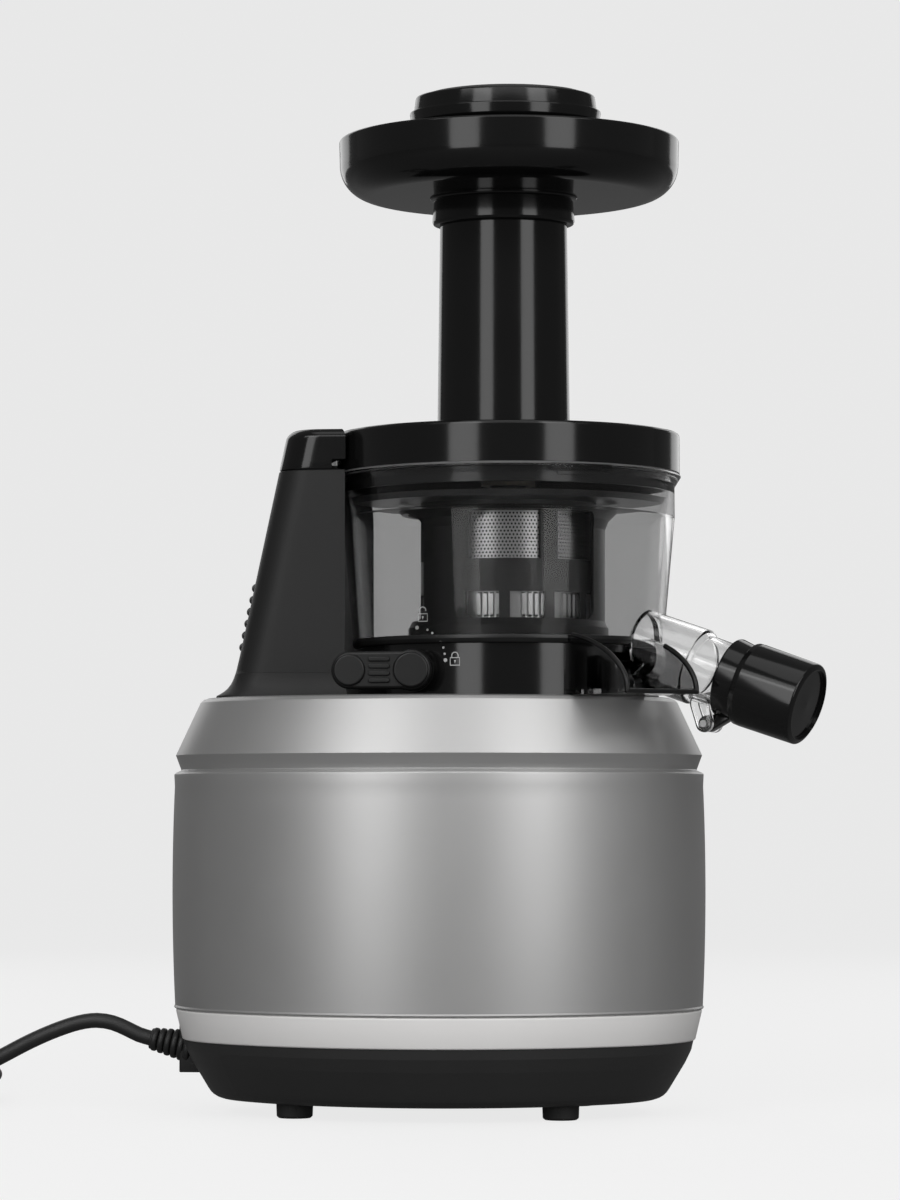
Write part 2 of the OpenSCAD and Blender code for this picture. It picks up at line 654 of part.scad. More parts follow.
module output_bearings() color("#c9cbce") at_drum() {
    ring(small_bearing[0] + run_gap, small_bearing[1], lower_bearing_z, lower_bearing_z + small_bearing[2]);
    ring(large_bearing[0] + run_gap, large_bearing[1], upper_bearing_z, upper_bearing_z + large_bearing[2]);
}
module shaft_seal() color("#4a2018") at_drum() ring(shaft_r + run_gap, 12, ledge_z, deck_z + 3.2);

// Speed control board, upright in the pan's rails
board_x = drum_x + 30;
board_t = 1.6;
module circuit_board() color("#1f6b3a") {
    translate([board_x, -32, pan_z + 5]) cube([board_t, 64, 86]);
    for (p = [[-22, 20, 16, 12], [2, 26, 20, 14], [16, 52, 12, 10]])
        translate([board_x - p[3], p[0], pan_z + p[1]]) cube([p[3] + 0.1, p[2], p[2]]);
    for (y = [-26, -14]) translate([board_x - 15, y, pan_z + 70]) rotate([0, 90, 0]) cylinder(r = 5, h = 15.1, $fn = 24);
}

// Cord: gland, boot, free lead, stored coil, tail, tie and plug
boot_dir = [-cos(boot_tilt), 0, sin(boot_tilt)];
gland_x = -(pan_top_x - 1.3);
boot_end = [gland_x, 0, gland_z] + boot_len * boot_dir;
module strain_relief() color("#1b1b1d") {
    translate([gland_x, -6, pan_z + 10]) cube([10.4, 12, 22.7]);
    translate([gland_x + 7.6, -9, pan_z + 14]) cube([2.8, 18, 11]);
    translate([gland_x, 0, gland_z]) rotate([0, -90 + boot_tilt, 0]) rotate_extrude() polygon(concat(
        [[0, -2], [6.2, -2], [6.2, 0.8]],
        [for (i = [0:4]) let (s = 1.6 + i * 3, r = 6 - i * 0.42)
            each [[r - 0.9, s], [r, s + 0.7], [r, s + 1.8], [r - 0.9, s + 2.4]]],
        [[cord_d / 2 + 0.6, boot_len], [0, boot_len]]));
}
cord_r = cord_d / 2;
// A round section swept along points; the first and last rings stand square to the given
// directions, and the others to the route
function unit(v) = v / norm(v);
function ring_points(at, d, r, sides) = let (s = unit(cross(d, [0, 0, 1])), u = cross(s, d))
    [for (k = [0:sides - 1]) let (a = 360 * (k + 0.5) / sides) at + r * (cos(a) * s + sin(a) * u)];
module sweep(p, r, from, to, sides = 8) {
    n = len(p);
    corners = [for (i = [0:n - 1])
        each ring_points(p[i], i == 0 ? from : i == n - 1 ? to : unit(p[i + 1] - p[i - 1]), r, sides)];
    walls = [for (i = [0:n - 2]) for (k = [0:sides - 1]) let (a = i * sides + k, b = i * sides + (k + 1) % sides)
        each [[a, a + sides, b], [b, a + sides, b + sides]]];
    caps = [for (k = [1:sides - 2])
        each [[0, k, k + 1], [(n - 1) * sides, (n - 1) * sides + k + 1, (n - 1) * sides + k]]];
    polyhedron(corners, concat(walls, caps), convexity = 8);
}

// Route points of the free lead, as steps in X and Z from the boot's end
lead_steps = [[0, 0], [-5.5, 1.6], [-11, 4.2], [-17, 6.6], [-24, 7.6], [-32, 6.5], [-42, 3.2],
    [-53, -1.6], [-64, -7.3], [-75, -13], [-86, -18.2], [-97, -22], [-109, -25.1]];
rearward = [-1, 0, 0];
coil_start = [-246, 0, coil_lift + cord_r];
lead_points = concat([for (p = lead_steps) boot_end + [p[0], 0, p[1]]], [coil_start]);
module cord_lead() color("#161617") sweep(lead_points, cord_r, boot_dir, rearward);

// Stored coil: it spirals in on the floor, climbs a layer where it turns, and spirals out
coil_r = coil_mean_r + coil_pitch * coil_turns / 2;
coil_x = coil_start[0];
coil_end_u = 2 * coil_turns + 0.5;
coil_rings = 24;
function coil_radius(u) = coil_r - coil_pitch * (u < coil_turns + 0.25 ? u : coil_end_u - u);
function coil_rise(u) = coil_pitch * min(max(2 * (u - coil_turns), 0), 1);
function coil_point(u) = [coil_x - coil_radius(u) * sin(360 * u), coil_r - coil_radius(u) * cos(360 * u),
    coil_start[2] + coil_rise(u)];
coil_points = [for (i = [0:coil_rings * coil_end_u]) coil_point(i / coil_rings)];
coil_gap = min([for (i = [0:2:len(coil_points) - 14]) for (j = [i + 12:len(coil_points) - 1])
    norm(coil_points[i] - coil_points[j])]) - cord_d;
echo(least_gap_of_coil_to_itself = coil_gap);
module cord_coil() color("#161617") sweep(coil_points, cord_r, rearward, rearward, 6);

// Route points of the tail, as steps from the coil's end to the plug
tail_steps = [[0, 0, 0], [-12, -0.3, -1], [-24, 0.4, -3.8], [-37, 3, -6.6], [-49, 8, -7.9], [-59, 15, -7.9],
    [-66.5, 24, -7.8], [-71, 35, -6.6], [-72, 46, -4.8], [-72, 56, -4.3]];
tail_points = [for (p = tail_steps) coil_point(coil_end_u) + p];
module cord_tail() color("#161617") sweep(tail_points, cord_r, rearward, [0, 1, 0]);
module cord_tie() color("#101011") translate([coil_x, coil_r, 0]) difference() {
    translate([-4.5, coil_r - coil_pitch * (coil_turns + 0.25) - cord_r - 1, 0.05])
        cube([9, coil_pitch * (coil_turns + 0.25) + cord_d + 2, coil_pitch + cord_d + 1.5]);
    translate([-5, coil_r - coil_pitch * (coil_turns + 0.25) - cord_r - 0.3, coil_lift - 0.1])
        cube([10, coil_pitch * (coil_turns + 0.25) + cord_d + 0.6, coil_pitch + cord_d + 0.2]);
}
plug_half = [17.65, 6.85];
module plug() color("#161617") {
    p = tail_points[len(tail_points) - 1];
    z = plug_half[1] + 0.02;
    translate([p[0], p[1], z]) {
        rotate([-90, 0, 0]) rotate_extrude() polygon([[0, 0], [cord_r + 1.2, 0], [cord_r + 2.6, 12], [0, 12]]);
        translate([0, 11, 0]) hull() for (k = [0, 1]) translate([0, k * 26, 0])
            for (s = [-1, 1]) translate([s * (k ? plug_half[0] - plug_half[1] : 3), 0, 0])
                rotate([-90, 0, 0]) cylinder(r = k ? plug_half[1] : 6, h = 1, $fn = 32);
        for (s = [-1, 1]) translate([s * 9.3, 37, 0]) rotate([-90, 0, 0]) cylinder(r = 2, h = 20, $fn = 24);
    }
}

// Drum: skirt, bowl, outlets and the lever on the skirt
module spout_frame() { at_drum(spout_az) translate([spout_start, 0, spout_z]) rotate([0, 90 + spout_tilt, 0]) children(); }
module drum_base() color("#0f0f11") difference() {
    union() {
        at_drum() {
            ring(skirt_r - 2.5, skirt_r, deck_z, bowl_z);
            ring(9.5, skirt_r, bowl_z - 3, bowl_z);
            ring(24.3, 27, deck_z + 1.5, bowl_z - 2.9);
        }
        intersection() {
            along_y(lever_x, lever_z, lever_boss_y, -44, lever_hub_r);
            at_drum() disc(skirt_r + 20, deck_z, bowl_z);
        }
    }
    along_y(lever_x, lever_z, lever_boss_y - 1, -40, lever_pin_r);
    at_drum(chute_az) {
        translate([12, -duct_half_y, duct_z0]) cube([78, 2 * duct_half_y, duct_z1 - duct_z0]);
        translate([12.5, -7, bowl_z - 4]) cube([18, 14, 5]);
    }
    spout_frame() translate([0, 0, -8]) cylinder(r = spout_r + 0.15, h = 40);
}
module pulp_packing() color("#5a5d60") at_drum(chute_az) difference() {
    translate([12.8, -6.7, bowl_z - 12]) cube([17.4, 13.4, bowl_floor_z - bowl_z + 11.7]);
    translate([14.8, -4.7, bowl_z - 13]) cube([13.4, 9.4, 20]);
}
function bowl_outline(inset) = [[bowl_r - 0.7 - inset, bowl_z], [bowl_r - inset, neck_bend_z],
    [rim_r - inset, cone_top_z], [rim_r - inset, lid_z]];
module bowl_shell() {
    rotate_extrude() polygon(concat([[12, bowl_z]], bowl_outline(0), back(concat([[12, bowl_floor_z],
        [bowl_r - 0.7 - bowl_wall, bowl_floor_z]], [for (i = [1:3]) bowl_outline(bowl_wall)[i]]))));
}
module bowl_ledges() {
    for (i = [0:2]) rotate([0, 0, 49 + 120 * i]) rotate_extrude(angle = 22)
        translate([lid_spigot_r + 0.25, lid_z - 1.6]) square([rim_r - lid_spigot_r - 1.2, 1.5]);
}
module drum_bowl() color("#70747a", 0.55) difference() {
    at_drum() union() {
        bowl_shell();
        bowl_ledges();
    }
    at_drum(chute_az) translate([12.5, -7, bowl_z - 1]) cube([18, 14, 8]);
    spout_frame() translate([0, 0, -6]) cylinder(r = spout_r - spout_wall, h = 24);
}
module pulp_chute() color("#55595f", 0.6) at_drum(chute_az) difference() {
    union() {
        for (side = [-1, 1]) translate([0, side > 0 ? chute_half_y - chute_wall : -chute_half_y, 0])
            rotate([90, 0, 0]) mirror([0, 0, 1]) linear_extrude(chute_wall) polygon(chute_side());
        translate([50, -chute_half_y, chute_z]) cube([chute_reach - 50, 2 * chute_half_y, 2]);
    }
    disc(skirt_r + 0.2, deck_z - 1, bowl_z + 0.1);
    disc(bowl_r - 0.4, bowl_z, lid_z);
    rotate([0, 0, spout_az - chute_az]) translate([spout_start, 0, spout_z]) rotate([0, 90 + spout_tilt, 0])
        cylinder(r = spout_r + 0.4, h = spout_len + neck_len);
}
// Side wall of the chute: its top edge falls in an arc to the tip
function chute_top(t) = chute_z + 1.8 + (bowl_z + 3 - chute_z - 1.8) * (0.78 * sqrt(1 - t * t) + 0.22 * (1 - t));
function chute_side() = concat([[chute_reach, chute_z], [50, chute_z]],
    [for (i = [0:12]) let (a = 90 * i / 12, x = 50 + (chute_reach - 50) * sin(a)) [x, chute_top(max(x - skirt_r, 0) / (chute_reach - skirt_r))]]);
module hinge_ears(y0, y1, r) {
    p = spout_point(hinge_s, -hinge_drop);
    q = spout_point(hinge_s - 6, 0);
    rotate([90, 0, 0]) translate([0, 0, -y1]) linear_extrude(y1 - y0) hull() {
        translate(p) circle(r = r, $fn = 48);
        translate(q) circle(r = r, $fn = 48);
    }
}
module spout_tube(inset, s0) {
    rotate_extrude() polygon([[0, s0], [spout_r - inset, s0], [spout_r - inset, spout_len - 1.5],
        [neck_r - inset, spout_len + 0.5], [neck_r - inset, spout_len + neck_len - 5.5],
        [neck_r - inset - 1.2, spout_len + neck_len], [0, spout_len + neck_len]]);
}
module juice_spout() color("#c9ccd0", 0.4) difference() {
    union() {
        spout_frame() spout_tube(0, -5);
        at_drum(spout_az) for (s = [-1, 1]) hinge_ears(s > 0 ? 3.4 : -6.4, s > 0 ? 6.4 : -3.4, 3.6);
    }
    spout_frame() union() {
        spout_tube(spout_wall, -3);
        translate([0, 0, spout_len]) cylinder(r = neck_r - spout_wall, h = neck_len + 1);
    }
    difference() {
        at_drum() disc(skirt_r + 10, bowl_z, lid_z);
        at_drum() difference() {
            disc(skirt_r + 11, bowl_z - 1, lid_z + 1);
            rotate_extrude() polygon(concat([[0, bowl_z - 1], [bowl_r - 0.6, bowl_z - 1]], bowl_outline(-0.1), [[0, lid_z]]));
        }
    }
    spout_hinge() cylinder(r = hinge_pin_r, h = 30, center = true, $fn = 32);
}
module spout_hinge() {
    p = spout_point(hinge_s, -hinge_drop);
    at_drum(spout_az) translate([p[0], 0, p[1]]) rotate([90, 0, 0]) children();
}
module cap_hinge_pin() color("#a6a8ab") spout_hinge() cylinder(r = hinge_pin_r, h = 13.4, center = true, $fn = 32);
module spout_cap() color("#0b0b0d") difference() {
    union() {
        spout_frame() translate([0, 0, cap_start]) rotate_extrude() polygon(concat([[0, 0], [cap_sleeve_r, 0],
            [cap_sleeve_r, cap_sleeve], [cap_r - 0.5, cap_sleeve + 0.2], [cap_r, cap_sleeve + 2]],
            arc(cap_r - cap_end_r, cap_sleeve + cap_len - cap_end_r, cap_end_r, 0, 90, 6), [[0, cap_sleeve + cap_len]]));
        at_drum(spout_az) cap_arm();
    }
    spout_frame() translate([0, 0, cap_start - 1]) cylinder(r = neck_r + 0.35, h = neck_len - (cap_start - spout_len) + 3.4);
    spout_frame() translate([0, 0, cap_start + 5]) cylinder(r = neck_r - 2.6, h = cap_sleeve + cap_len - 8);
    spout_hinge() cylinder(r = hinge_pin_r + run_gap, h = 30, center = true, $fn = 32);
}
module cap_arm() {
    p = spout_point(hinge_s, -hinge_drop);
    q = spout_point(cap_start + 4, -cap_sleeve_r + 1.2);
    rotate([90, 0, 0]) translate([0, 0, -3]) linear_extrude(6) hull() {
        translate(p) circle(r = 3.4, $fn = 48);
        translate(q) circle(r = 1.6, $fn = 48);
    }
}
module cap_seal() color("#3a3b3e") spout_frame()
    ring(neck_r - 2.4, neck_r + 0.25, spout_len + neck_len + 0.1, spout_len + neck_len + 1.3);
module pulp_lever() color("#101012") difference() {
    union() {
        along_y(lever_x, lever_z, lever_face_y - lever_t, lever_boss_y - 0.3, lever_hub_r - 0.5);
        translate([0, lever_face_y, 0]) rotate([90, 0, 0]) linear_extrude(lever_t) difference() {
            union() {
                translate([lever_x - lever_len + 7.8, lever_z - 7.9]) square([lever_len - 7.8, 15.8]);
                translate([lever_x - lever_len + 7.8, lever_z - 0.1]) circle(r = 7.8);
                translate([lever_x, lever_z]) circle(r = lever_hub_r);
            }
            translate([lever_x + 4, lever_z - 12]) rotate([0, 0, 45]) square([12, 4]);
        }
        for (x = [-13, -17, -21, -25]) translate([lever_x + x, lever_face_y - lever_t - 1.1, lever_z - 5.5]) cube([1.6, 1.3, 11]);
    }
    along_y(lever_x, lever_z, lever_face_y - lever_t + 1.5, lever_boss_y + 1, lever_pin_r + run_gap);
}
module lever_pin() color("#a6a8ab") {
    along_y(lever_x, lever_z, lever_face_y - lever_t + 1.8, -46, lever_pin_r);
}

// Screen, brush, planet and screw inside the bowl
module screen_window(z0, z1, count, rib, first) {
    for (i = [0:count - 1]) rotate([0, 0, first + 360 * i / count]) intersection() {
        translate([20, 0, z0]) rotate([90, 0, 0]) linear_extrude(90, center = true) square([30, z1 - z0]);
        rotate_extrude(angle = 360 / count - rib) translate([30, z0]) square([12, z1 - z0]);
    }
}
module screen_frame() color("#2a2b2e") at_drum() difference() {
    union() {
        ring(screen_r - 2.3, screen_r, screen_bottom_z, screen_flange_z + 2);
        rotate_extrude() polygon([[screen_r - 2.3, screen_flange_z], [bowl_r - 1.5, screen_flange_z],
            [bowl_r + 0.2, screen_flange_z + 2.5], [screen_r - 2.3, screen_flange_z + 2.5]]);
    }
    screen_window(screen_bottom_z + 2.3, screen_bottom_z + 13.3, screen_ribs, 7, -57.3 + 3.5);
    screen_window(screen_bottom_z + 27.1, screen_flange_z - 4.1, screen_ribs / 2, 12, -57.3 + 6);
}
module screen_mesh() color("#b9bcc0") at_drum()
    ring(screen_r - 2.8, screen_r - 2.4, screen_bottom_z + 0.8, screen_flange_z - 2.5);
brush_top_z = brush_post_top + 8;
window_half = brush_r * sin(43.5);
module brush_window() {
    z0 = bowl_floor_z + 8;
    z1 = brush_post_top + 6.5;
    translate([brush_r / 2, 0, 0]) rotate([90, 0, 90]) linear_extrude(brush_r) offset(r = 5, $fn = 32)
        translate([5 - window_half, z0 + 5]) square([2 * window_half - 10, z1 - z0 - 10]);
}
module spinning_brush() color("#17181a") at_drum() {
    brush_cage();
    translate([0, 0, bowl_floor_z + 0.4]) linear_extrude(4.8) difference() {
        circle(r = brush_r + 1.5);
        rotate(planet_az + 180 / teeth_ring) gear_outline(module_3, teeth_ring, 0, -0.12, 1.25, 0.85);
    }
}
module brush_cage() difference() {
    rotate_extrude() polygon([[brush_r - 2.6, bowl_floor_z + 5], [brush_r + 1.4, bowl_floor_z + 5],
        [brush_r, bowl_floor_z + 8], [brush_r, brush_post_top],
        [brush_r + 1.6, brush_post_top + 4], [brush_r + 5.8, brush_top_z], [brush_r + 3.4, brush_top_z],
        [brush_r - 1, brush_post_top + 4], [brush_r - 2.6, brush_post_top]]);
    for (i = [0:2]) rotate([0, 0, -68 + 120 * i]) brush_window();
}
module brush_wipers() color("#8f9294") at_drum() for (i = [0:2]) rotate([0, 0, -8 + 120 * i])
    translate([screen_r + 0.3, -1, bowl_floor_z + 9]) cube([brush_r - 2.6 - screen_r - 0.35, 2, brush_post_top - bowl_floor_z - 10]);
module at_planet() { at_drum(planet_az) translate([planet_reach, 0, 0]) children(); }
module planet_gear() color("#d8d2c2") at_planet() difference() {
    translate([0, 0, mesh_3_z]) rotate([0, 0, 180 + 180 / teeth_sun]) linear_extrude(mesh_3_h)
        gear_outline(module_3, teeth_sun, 0, 0.12, 0.9);
    disc(planet_pin_r + run_gap, mesh_3_z - 1, mesh_3_z + mesh_3_h + 1);
}
planet_pin_r = 2.5;
module planet_pin() color("#a6a8ab") at_planet() disc(planet_pin_r, bowl_floor_z, mesh_3_z + mesh_3_h - 0.3);
screw_top_z = lid_z - 8;
module screw() color("#26272a") at_drum() difference() {
    union() {
        translate([0, 0, mesh_3_z]) rotate([0, 0, planet_az]) linear_extrude(mesh_3_h + 0.4)
            gear_outline(module_3, teeth_sun, 0, 0.12, 0.9);
        rotate_extrude() polygon([[0, mesh_3_z + mesh_3_h + 0.3], [30.5, mesh_3_z + mesh_3_h + 0.3],
            [30.5, mesh_3_z + mesh_3_h + 2.6], [24, mesh_3_z + mesh_3_h + 4.5], [14, screw_top_z - 6], [12, screw_top_z - 3],
            [8, screw_top_z - 3], [8, screw_top_z + 6], [0, screw_top_z + 6]]);
        translate([0, 0, mesh_3_z + mesh_3_h + 2]) linear_extrude(screw_top_z - 12 - mesh_3_z - mesh_3_h, twist = -250, slices = 14, $fn = 12)
            for (i = [0:2]) rotate([0, 0, 120 * i]) translate([6, -2.2]) square([screw_r - 6.4, 4.4]);
    }
    translate([0, 0, bowl_floor_z]) cylinder(r = hex_r + 0.1, h = 11.4, $fn = 6);
}

// Lid and feed
lid_spigot_r = rim_r - 3.9;
tab_r = rim_r + 5.9;
tube_x = drum_x - 2;
module tube_disc(inset, z0, z1) {
    translate([tube_x, 0, z0]) linear_extrude(z1 - z0) oval_plan(tube_half_x, tube_c, inset);
}
module lid() color("#0d0d0f") difference() {
    union() {
        at_drum() {
            rotate_extrude() polygon(concat([[0, lid_top_z - lid_plate_t], [rim_r - 2.4, lid_top_z - lid_plate_t],
                [rim_r - 2.4, lid_z + gasket_t], [rim_r, lid_z + gasket_t]],
                arc(rim_r - 1.5, lid_top_z - 1.5, 1.5, 0, 90, 4), [[0, lid_top_z]]));
            ring(lid_spigot_r - 2.4, lid_spigot_r, lid_z - 7, lid_top_z - lid_plate_t + 0.1);
            for (i = [0:2]) rotate([0, 0, 52 + 120 * i]) rotate_extrude(angle = 16)
                translate([lid_spigot_r - 0.5, lid_z - 4]) square([1.5, 1.9]);
            rotate([0, 0, 172]) rotate_extrude(angle = 16)
                translate([rim_r - 0.5, lid_z + 1.6]) square([tab_r - rim_r + 0.5, 3]);
            disc(16, lid_z - 2, lid_z + 1);
            for (a = [90, 270]) rotate([0, 0, a]) translate([10, -3, lid_z - 2]) cube([lid_spigot_r - 11, 6, 3]);
        }
    }
    at_drum() disc(11.5, lid_z - 8, lid_z);
    tube_disc(-0.05, lid_top_z - lid_plate_t - 1, lid_top_z + 1);
    at_drum(180) translate([rim_r - 1, -5, lid_z + 1.9]) cube([5, 10, 2.2]);
}
module lid_gasket() color("#3c3d40") at_drum() ring(lid_spigot_r + 0.5, rim_r - 0.4, lid_z, lid_z + gasket_t);
module lid_bush() color("#d8d2c2") at_drum() ring(8 + run_gap, 11.5, lid_z - 5, lid_z);
module lid_magnet() color("#8a8d91") at_drum(180) translate([rim_r - 0.7, -4.8, lid_z + 2]) cube([4.6, 9.6, 2]);
tube_taper = 1.1;
module feed_tube() color("#0b0b0d") translate([tube_x, 0, lid_top_z - lid_plate_t]) {
    inner = tube_half_x - tube_taper - tube_wall;
    oval_turned(tube_half_x, tube_c, [[inner, 0], [tube_half_x, 0], [tube_half_x, lid_plate_t],
        [tube_half_x - tube_taper, tube_h - 11], [tube_half_x - tube_taper, tube_h + lid_plate_t],
        [inner, tube_h + lid_plate_t]]);
}
collar_half = tube_half_x + 1.7;
collar_h = 11.2;
module hopper_tray() color("#0b0b0d") difference() {
    union() {
        translate([drum_x + 0.4, 0, 0]) rotate_extrude() polygon(concat([[0, tray_z], [tray_r - 13.5, tray_z]],
            arc(tray_r - 13.5, tray_z + 13.5, 13.5, -90, 0, 8), [[tray_r, tray_z + tray_h - 0.6], [tray_r - 0.6, tray_z + tray_h],
            [tray_r - 2.4, tray_z + tray_h]], back(arc(tray_r - 13.5, tray_z + 13.5, 11.1, -90, 0, 8)), [[0, tray_floor_z]]));
        translate([tube_x, 0, tray_z - collar_h]) linear_extrude(collar_h + 0.1) oval_plan(tube_half_x, tube_c, -1.7);
    }
    tube_disc(tube_taper - 0.15, tray_z - 20, tray_floor_z + 1);
}
pusher_x = drum_x - 1.2;
module pusher_cap() color("#101012") translate([pusher_x, 0, tray_floor_z]) {
    rim_z = pusher_h - 0.6;
    inner = pusher_half_x - 10;
    oval_turned(pusher_half_x, pusher_c, concat([[inner, 0.3], [pusher_half_x - 5, 0.3],
        [pusher_half_x - 3.6, pusher_h - 16], [pusher_half_x + 0.3, pusher_h - 13],
        [pusher_half_x + 0.3, pusher_h - 9], [pusher_half_x, pusher_h - 8.5]],
        arc(pusher_half_x - 2.5, pusher_h - 2.5, 2.5, 0, 90, 4), [[inner + 1, rim_z], [inner, rim_z]]));
    translate([0, 0, 0.3]) linear_extrude(rim_z - 0.3)
        oval_plan(pusher_half_x, pusher_c, pusher_half_x - inner - 0.5);
}
rod_inset = tube_taper + tube_wall + pusher_gap;
module pusher_rod() color("#1a1a1c") {
    tube_disc(rod_inset, lid_top_z + 5.5, tray_floor_z + 0.3);
    tube_disc(rod_inset + 1.5, lid_top_z + 4, lid_top_z + 5.6);
}

placed() base_housing();
placed() trim_band();
placed() bottom_pan();
placed() feet();
placed() pan_screws();
placed() top_deck();
placed() column_housing();
placed() column_cap();
placed() interlock_sensor();
placed() switch_bezel();
placed() switch_rocker();
placed() motor_stator();
placed() motor_windings();
placed() motor_brackets();
placed() motor_bearings();
placed() rotor();
placed() cooling_fan();
placed() gearbox_case();
placed() gearbox_cover();
placed() gearbox_screws();
placed() idler_gear();
placed() idler_axle();
placed() output_gear();
placed() output_shaft();
placed() output_bearings();
placed() shaft_seal();
placed() circuit_board();
placed() strain_relief();
placed() cord_lead();
placed() cord_coil();
placed() cord_tail();
placed() cord_tie();
placed() plug();
placed() drum_base();
placed() drum_bowl();
placed() pulp_packing();
placed() pulp_chute();
placed() juice_spout();
placed() spout_cap();
placed() cap_seal();
placed() cap_hinge_pin();
placed() pulp_lever();
placed() lever_pin();
placed() screen_frame();
placed() screen_mesh();
placed() spinning_brush();
placed() brush_wipers();
placed() planet_gear();
placed() planet_pin();
placed() screw();
placed() lid();
placed() lid_gasket();
placed() lid_bush();
placed() lid_magnet();
placed() feed_tube();
placed() hopper_tray();
placed() pusher_cap();
placed() pusher_rod();
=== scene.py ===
"""Looks of an upright cold press juicer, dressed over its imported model.
Lengths in the making code are in millimetres of the machine's own frame, whose X runs to the
juice spout, Y away from the viewer and Z up; the row frame's X is SHIFT less."""
import json
import math

import bmesh
import bpy
from mathutils import Matrix, Vector


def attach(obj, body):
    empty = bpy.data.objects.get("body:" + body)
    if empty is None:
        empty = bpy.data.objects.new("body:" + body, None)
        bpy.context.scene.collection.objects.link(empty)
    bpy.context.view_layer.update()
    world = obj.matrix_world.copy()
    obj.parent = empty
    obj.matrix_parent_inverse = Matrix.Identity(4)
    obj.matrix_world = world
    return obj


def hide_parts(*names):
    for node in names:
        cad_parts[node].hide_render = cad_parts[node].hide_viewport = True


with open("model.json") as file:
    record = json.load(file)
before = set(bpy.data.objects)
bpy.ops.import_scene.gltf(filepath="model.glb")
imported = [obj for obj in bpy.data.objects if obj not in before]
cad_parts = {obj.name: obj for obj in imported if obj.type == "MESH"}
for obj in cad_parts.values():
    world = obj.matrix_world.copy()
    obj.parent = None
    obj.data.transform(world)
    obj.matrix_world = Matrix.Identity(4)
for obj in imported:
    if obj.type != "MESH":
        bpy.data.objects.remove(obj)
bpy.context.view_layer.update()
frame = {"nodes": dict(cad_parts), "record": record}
scene = bpy.context.scene
sin, cos, pi, rad = math.sin, math.cos, math.pi, math.radians
SHIFT = 25.6084     # the machine frame's X less the row frame's
DRUM_X = 30.0       # the drum's upright axis
SKIRT_R, BOWL_R, BOWL_Z = 64.0, 66.2, 197.0
BOWL_FLARE, BOWL_NECK = 0.7, 56     # what the bowl widens over its lower part, and how high that is


def row(p):
    """A point of the machine frame, in mm, as metres of the row frame."""
    return Vector(((p[0] - SHIFT) / 1000, p[1] / 1000, p[2] / 1000))


# ---------------------------------------------------------------- camera
IMAGE_PX = (900, 1200)
FOCAL_PX, RISE_PX = 4200, 213
SENSOR_H = 36.0
CAMERA_AT = (192.3, -1782.6, 126.6)
CAMERA_TURN, CAMERA_PITCH = rad(6.0), math.atan(RISE_PX / FOCAL_PX)


def camera_axes():
    """The camera's directions of view, to the right and up."""
    turn, pitch = CAMERA_TURN, CAMERA_PITCH
    view = (-sin(turn) * cos(pitch), cos(turn) * cos(pitch), sin(pitch))
    right = (cos(turn), sin(turn), 0.0)
    up = (right[1] * view[2] - right[2] * view[1], right[2] * view[0] - right[0] * view[2],
          right[0] * view[1] - right[1] * view[0])
    return view, right, up


def make_camera():
    cam = bpy.data.objects.new("camera", bpy.data.cameras.new("camera"))
    scene.collection.objects.link(cam)
    view = Vector(camera_axes()[0])
    cam.matrix_world = Matrix.Translation(row(CAMERA_AT)) @ view.to_track_quat("-Z", "Y").to_matrix().to_4x4()
    cam.data.sensor_fit, cam.data.sensor_height = "VERTICAL", SENSOR_H
    cam.data.lens = SENSOR_H * FOCAL_PX / IMAGE_PX[1]
    cam.data.clip_start, cam.data.clip_end = 0.05, 30.0
    scene.camera = cam


make_camera()

# ---------------------------------------------------------------- power cord's route
CORD_R = 3.25
BOOT_TILT, BOOT_LEN, GLAND = 11.4, 16.6, (-107.2, 0.0, 26.9)
BOOT_END = (GLAND[0] - BOOT_LEN * cos(rad(BOOT_TILT)), 0.0, GLAND[2] + BOOT_LEN * sin(rad(BOOT_TILT)))
COIL_X, COIL_R, COIL_Z, COIL_PITCH = -246.0, 45.4875, 4.05, 7.1
COIL_TURNS, CLIMB_TURN, COIL_STEPS = 5.0, 2.25, 120
LEAD_STEPS = [(0, 0), (-5.5, 1.6), (-11, 4.2), (-17, 6.6), (-24, 7.6), (-32, 6.5), (-42, 3.2),
              (-53, -1.6), (-64, -7.3), (-75, -13), (-86, -18.2), (-97, -22), (-109, -25.1)]
TAIL_STEPS = [(-12, -0.3, -1), (-24, 0.4, -3.8), (-37, 3, -6.6), (-49, 8, -7.9), (-59, 15, -7.9),
              (-66.5, 24, -7.8), (-71, 35, -6.6), (-72, 46, -4.8), (-72, 56, -4.3)]


def coil_point(u):
    """A point of the coil after u turns: inward on the floor, then outward on top of that layer."""
    r = COIL_R - COIL_PITCH * (u if u < COIL_TURNS / 2 else COIL_TURNS - u)
    up = COIL_PITCH * min(max(2 * (u - CLIMB_TURN), 0), 1)
    return (COIL_X - r * sin(2 * pi * u), COIL_R - r * cos(2 * pi * u), COIL_Z + up)


cord_route = [(BOOT_END[0] + dx, 0.0, BOOT_END[2] + dz) for dx, dz in LEAD_STEPS]
cord_route += [coil_point(COIL_TURNS * i / COIL_STEPS) for i in range(COIL_STEPS + 1)]
coil_end = cord_route[-1]
cord_route += [(coil_end[0] + d[0], coil_end[1] + d[1], coil_end[2] + d[2]) for d in TAIL_STEPS]


# ---------------------------------------------------------------- materials
def grey(v, warm=0.0):
    """A display grey of 0 to 255 as a linear colour, warmer or cooler by a small share."""
    c = v / 255
    lin = c / 12.92 if c <= 0.04045 else ((c + 0.055) / 1.055) ** 2.4
    return (lin * (1 + warm), lin, lin * (1 - warm), 1.0)


def nodes_of(name):
    m = bpy.data.materials.new(name)
    m.use_nodes = True
    nt = m.node_tree
    return m, nt, nt.nodes["Principled BSDF"]


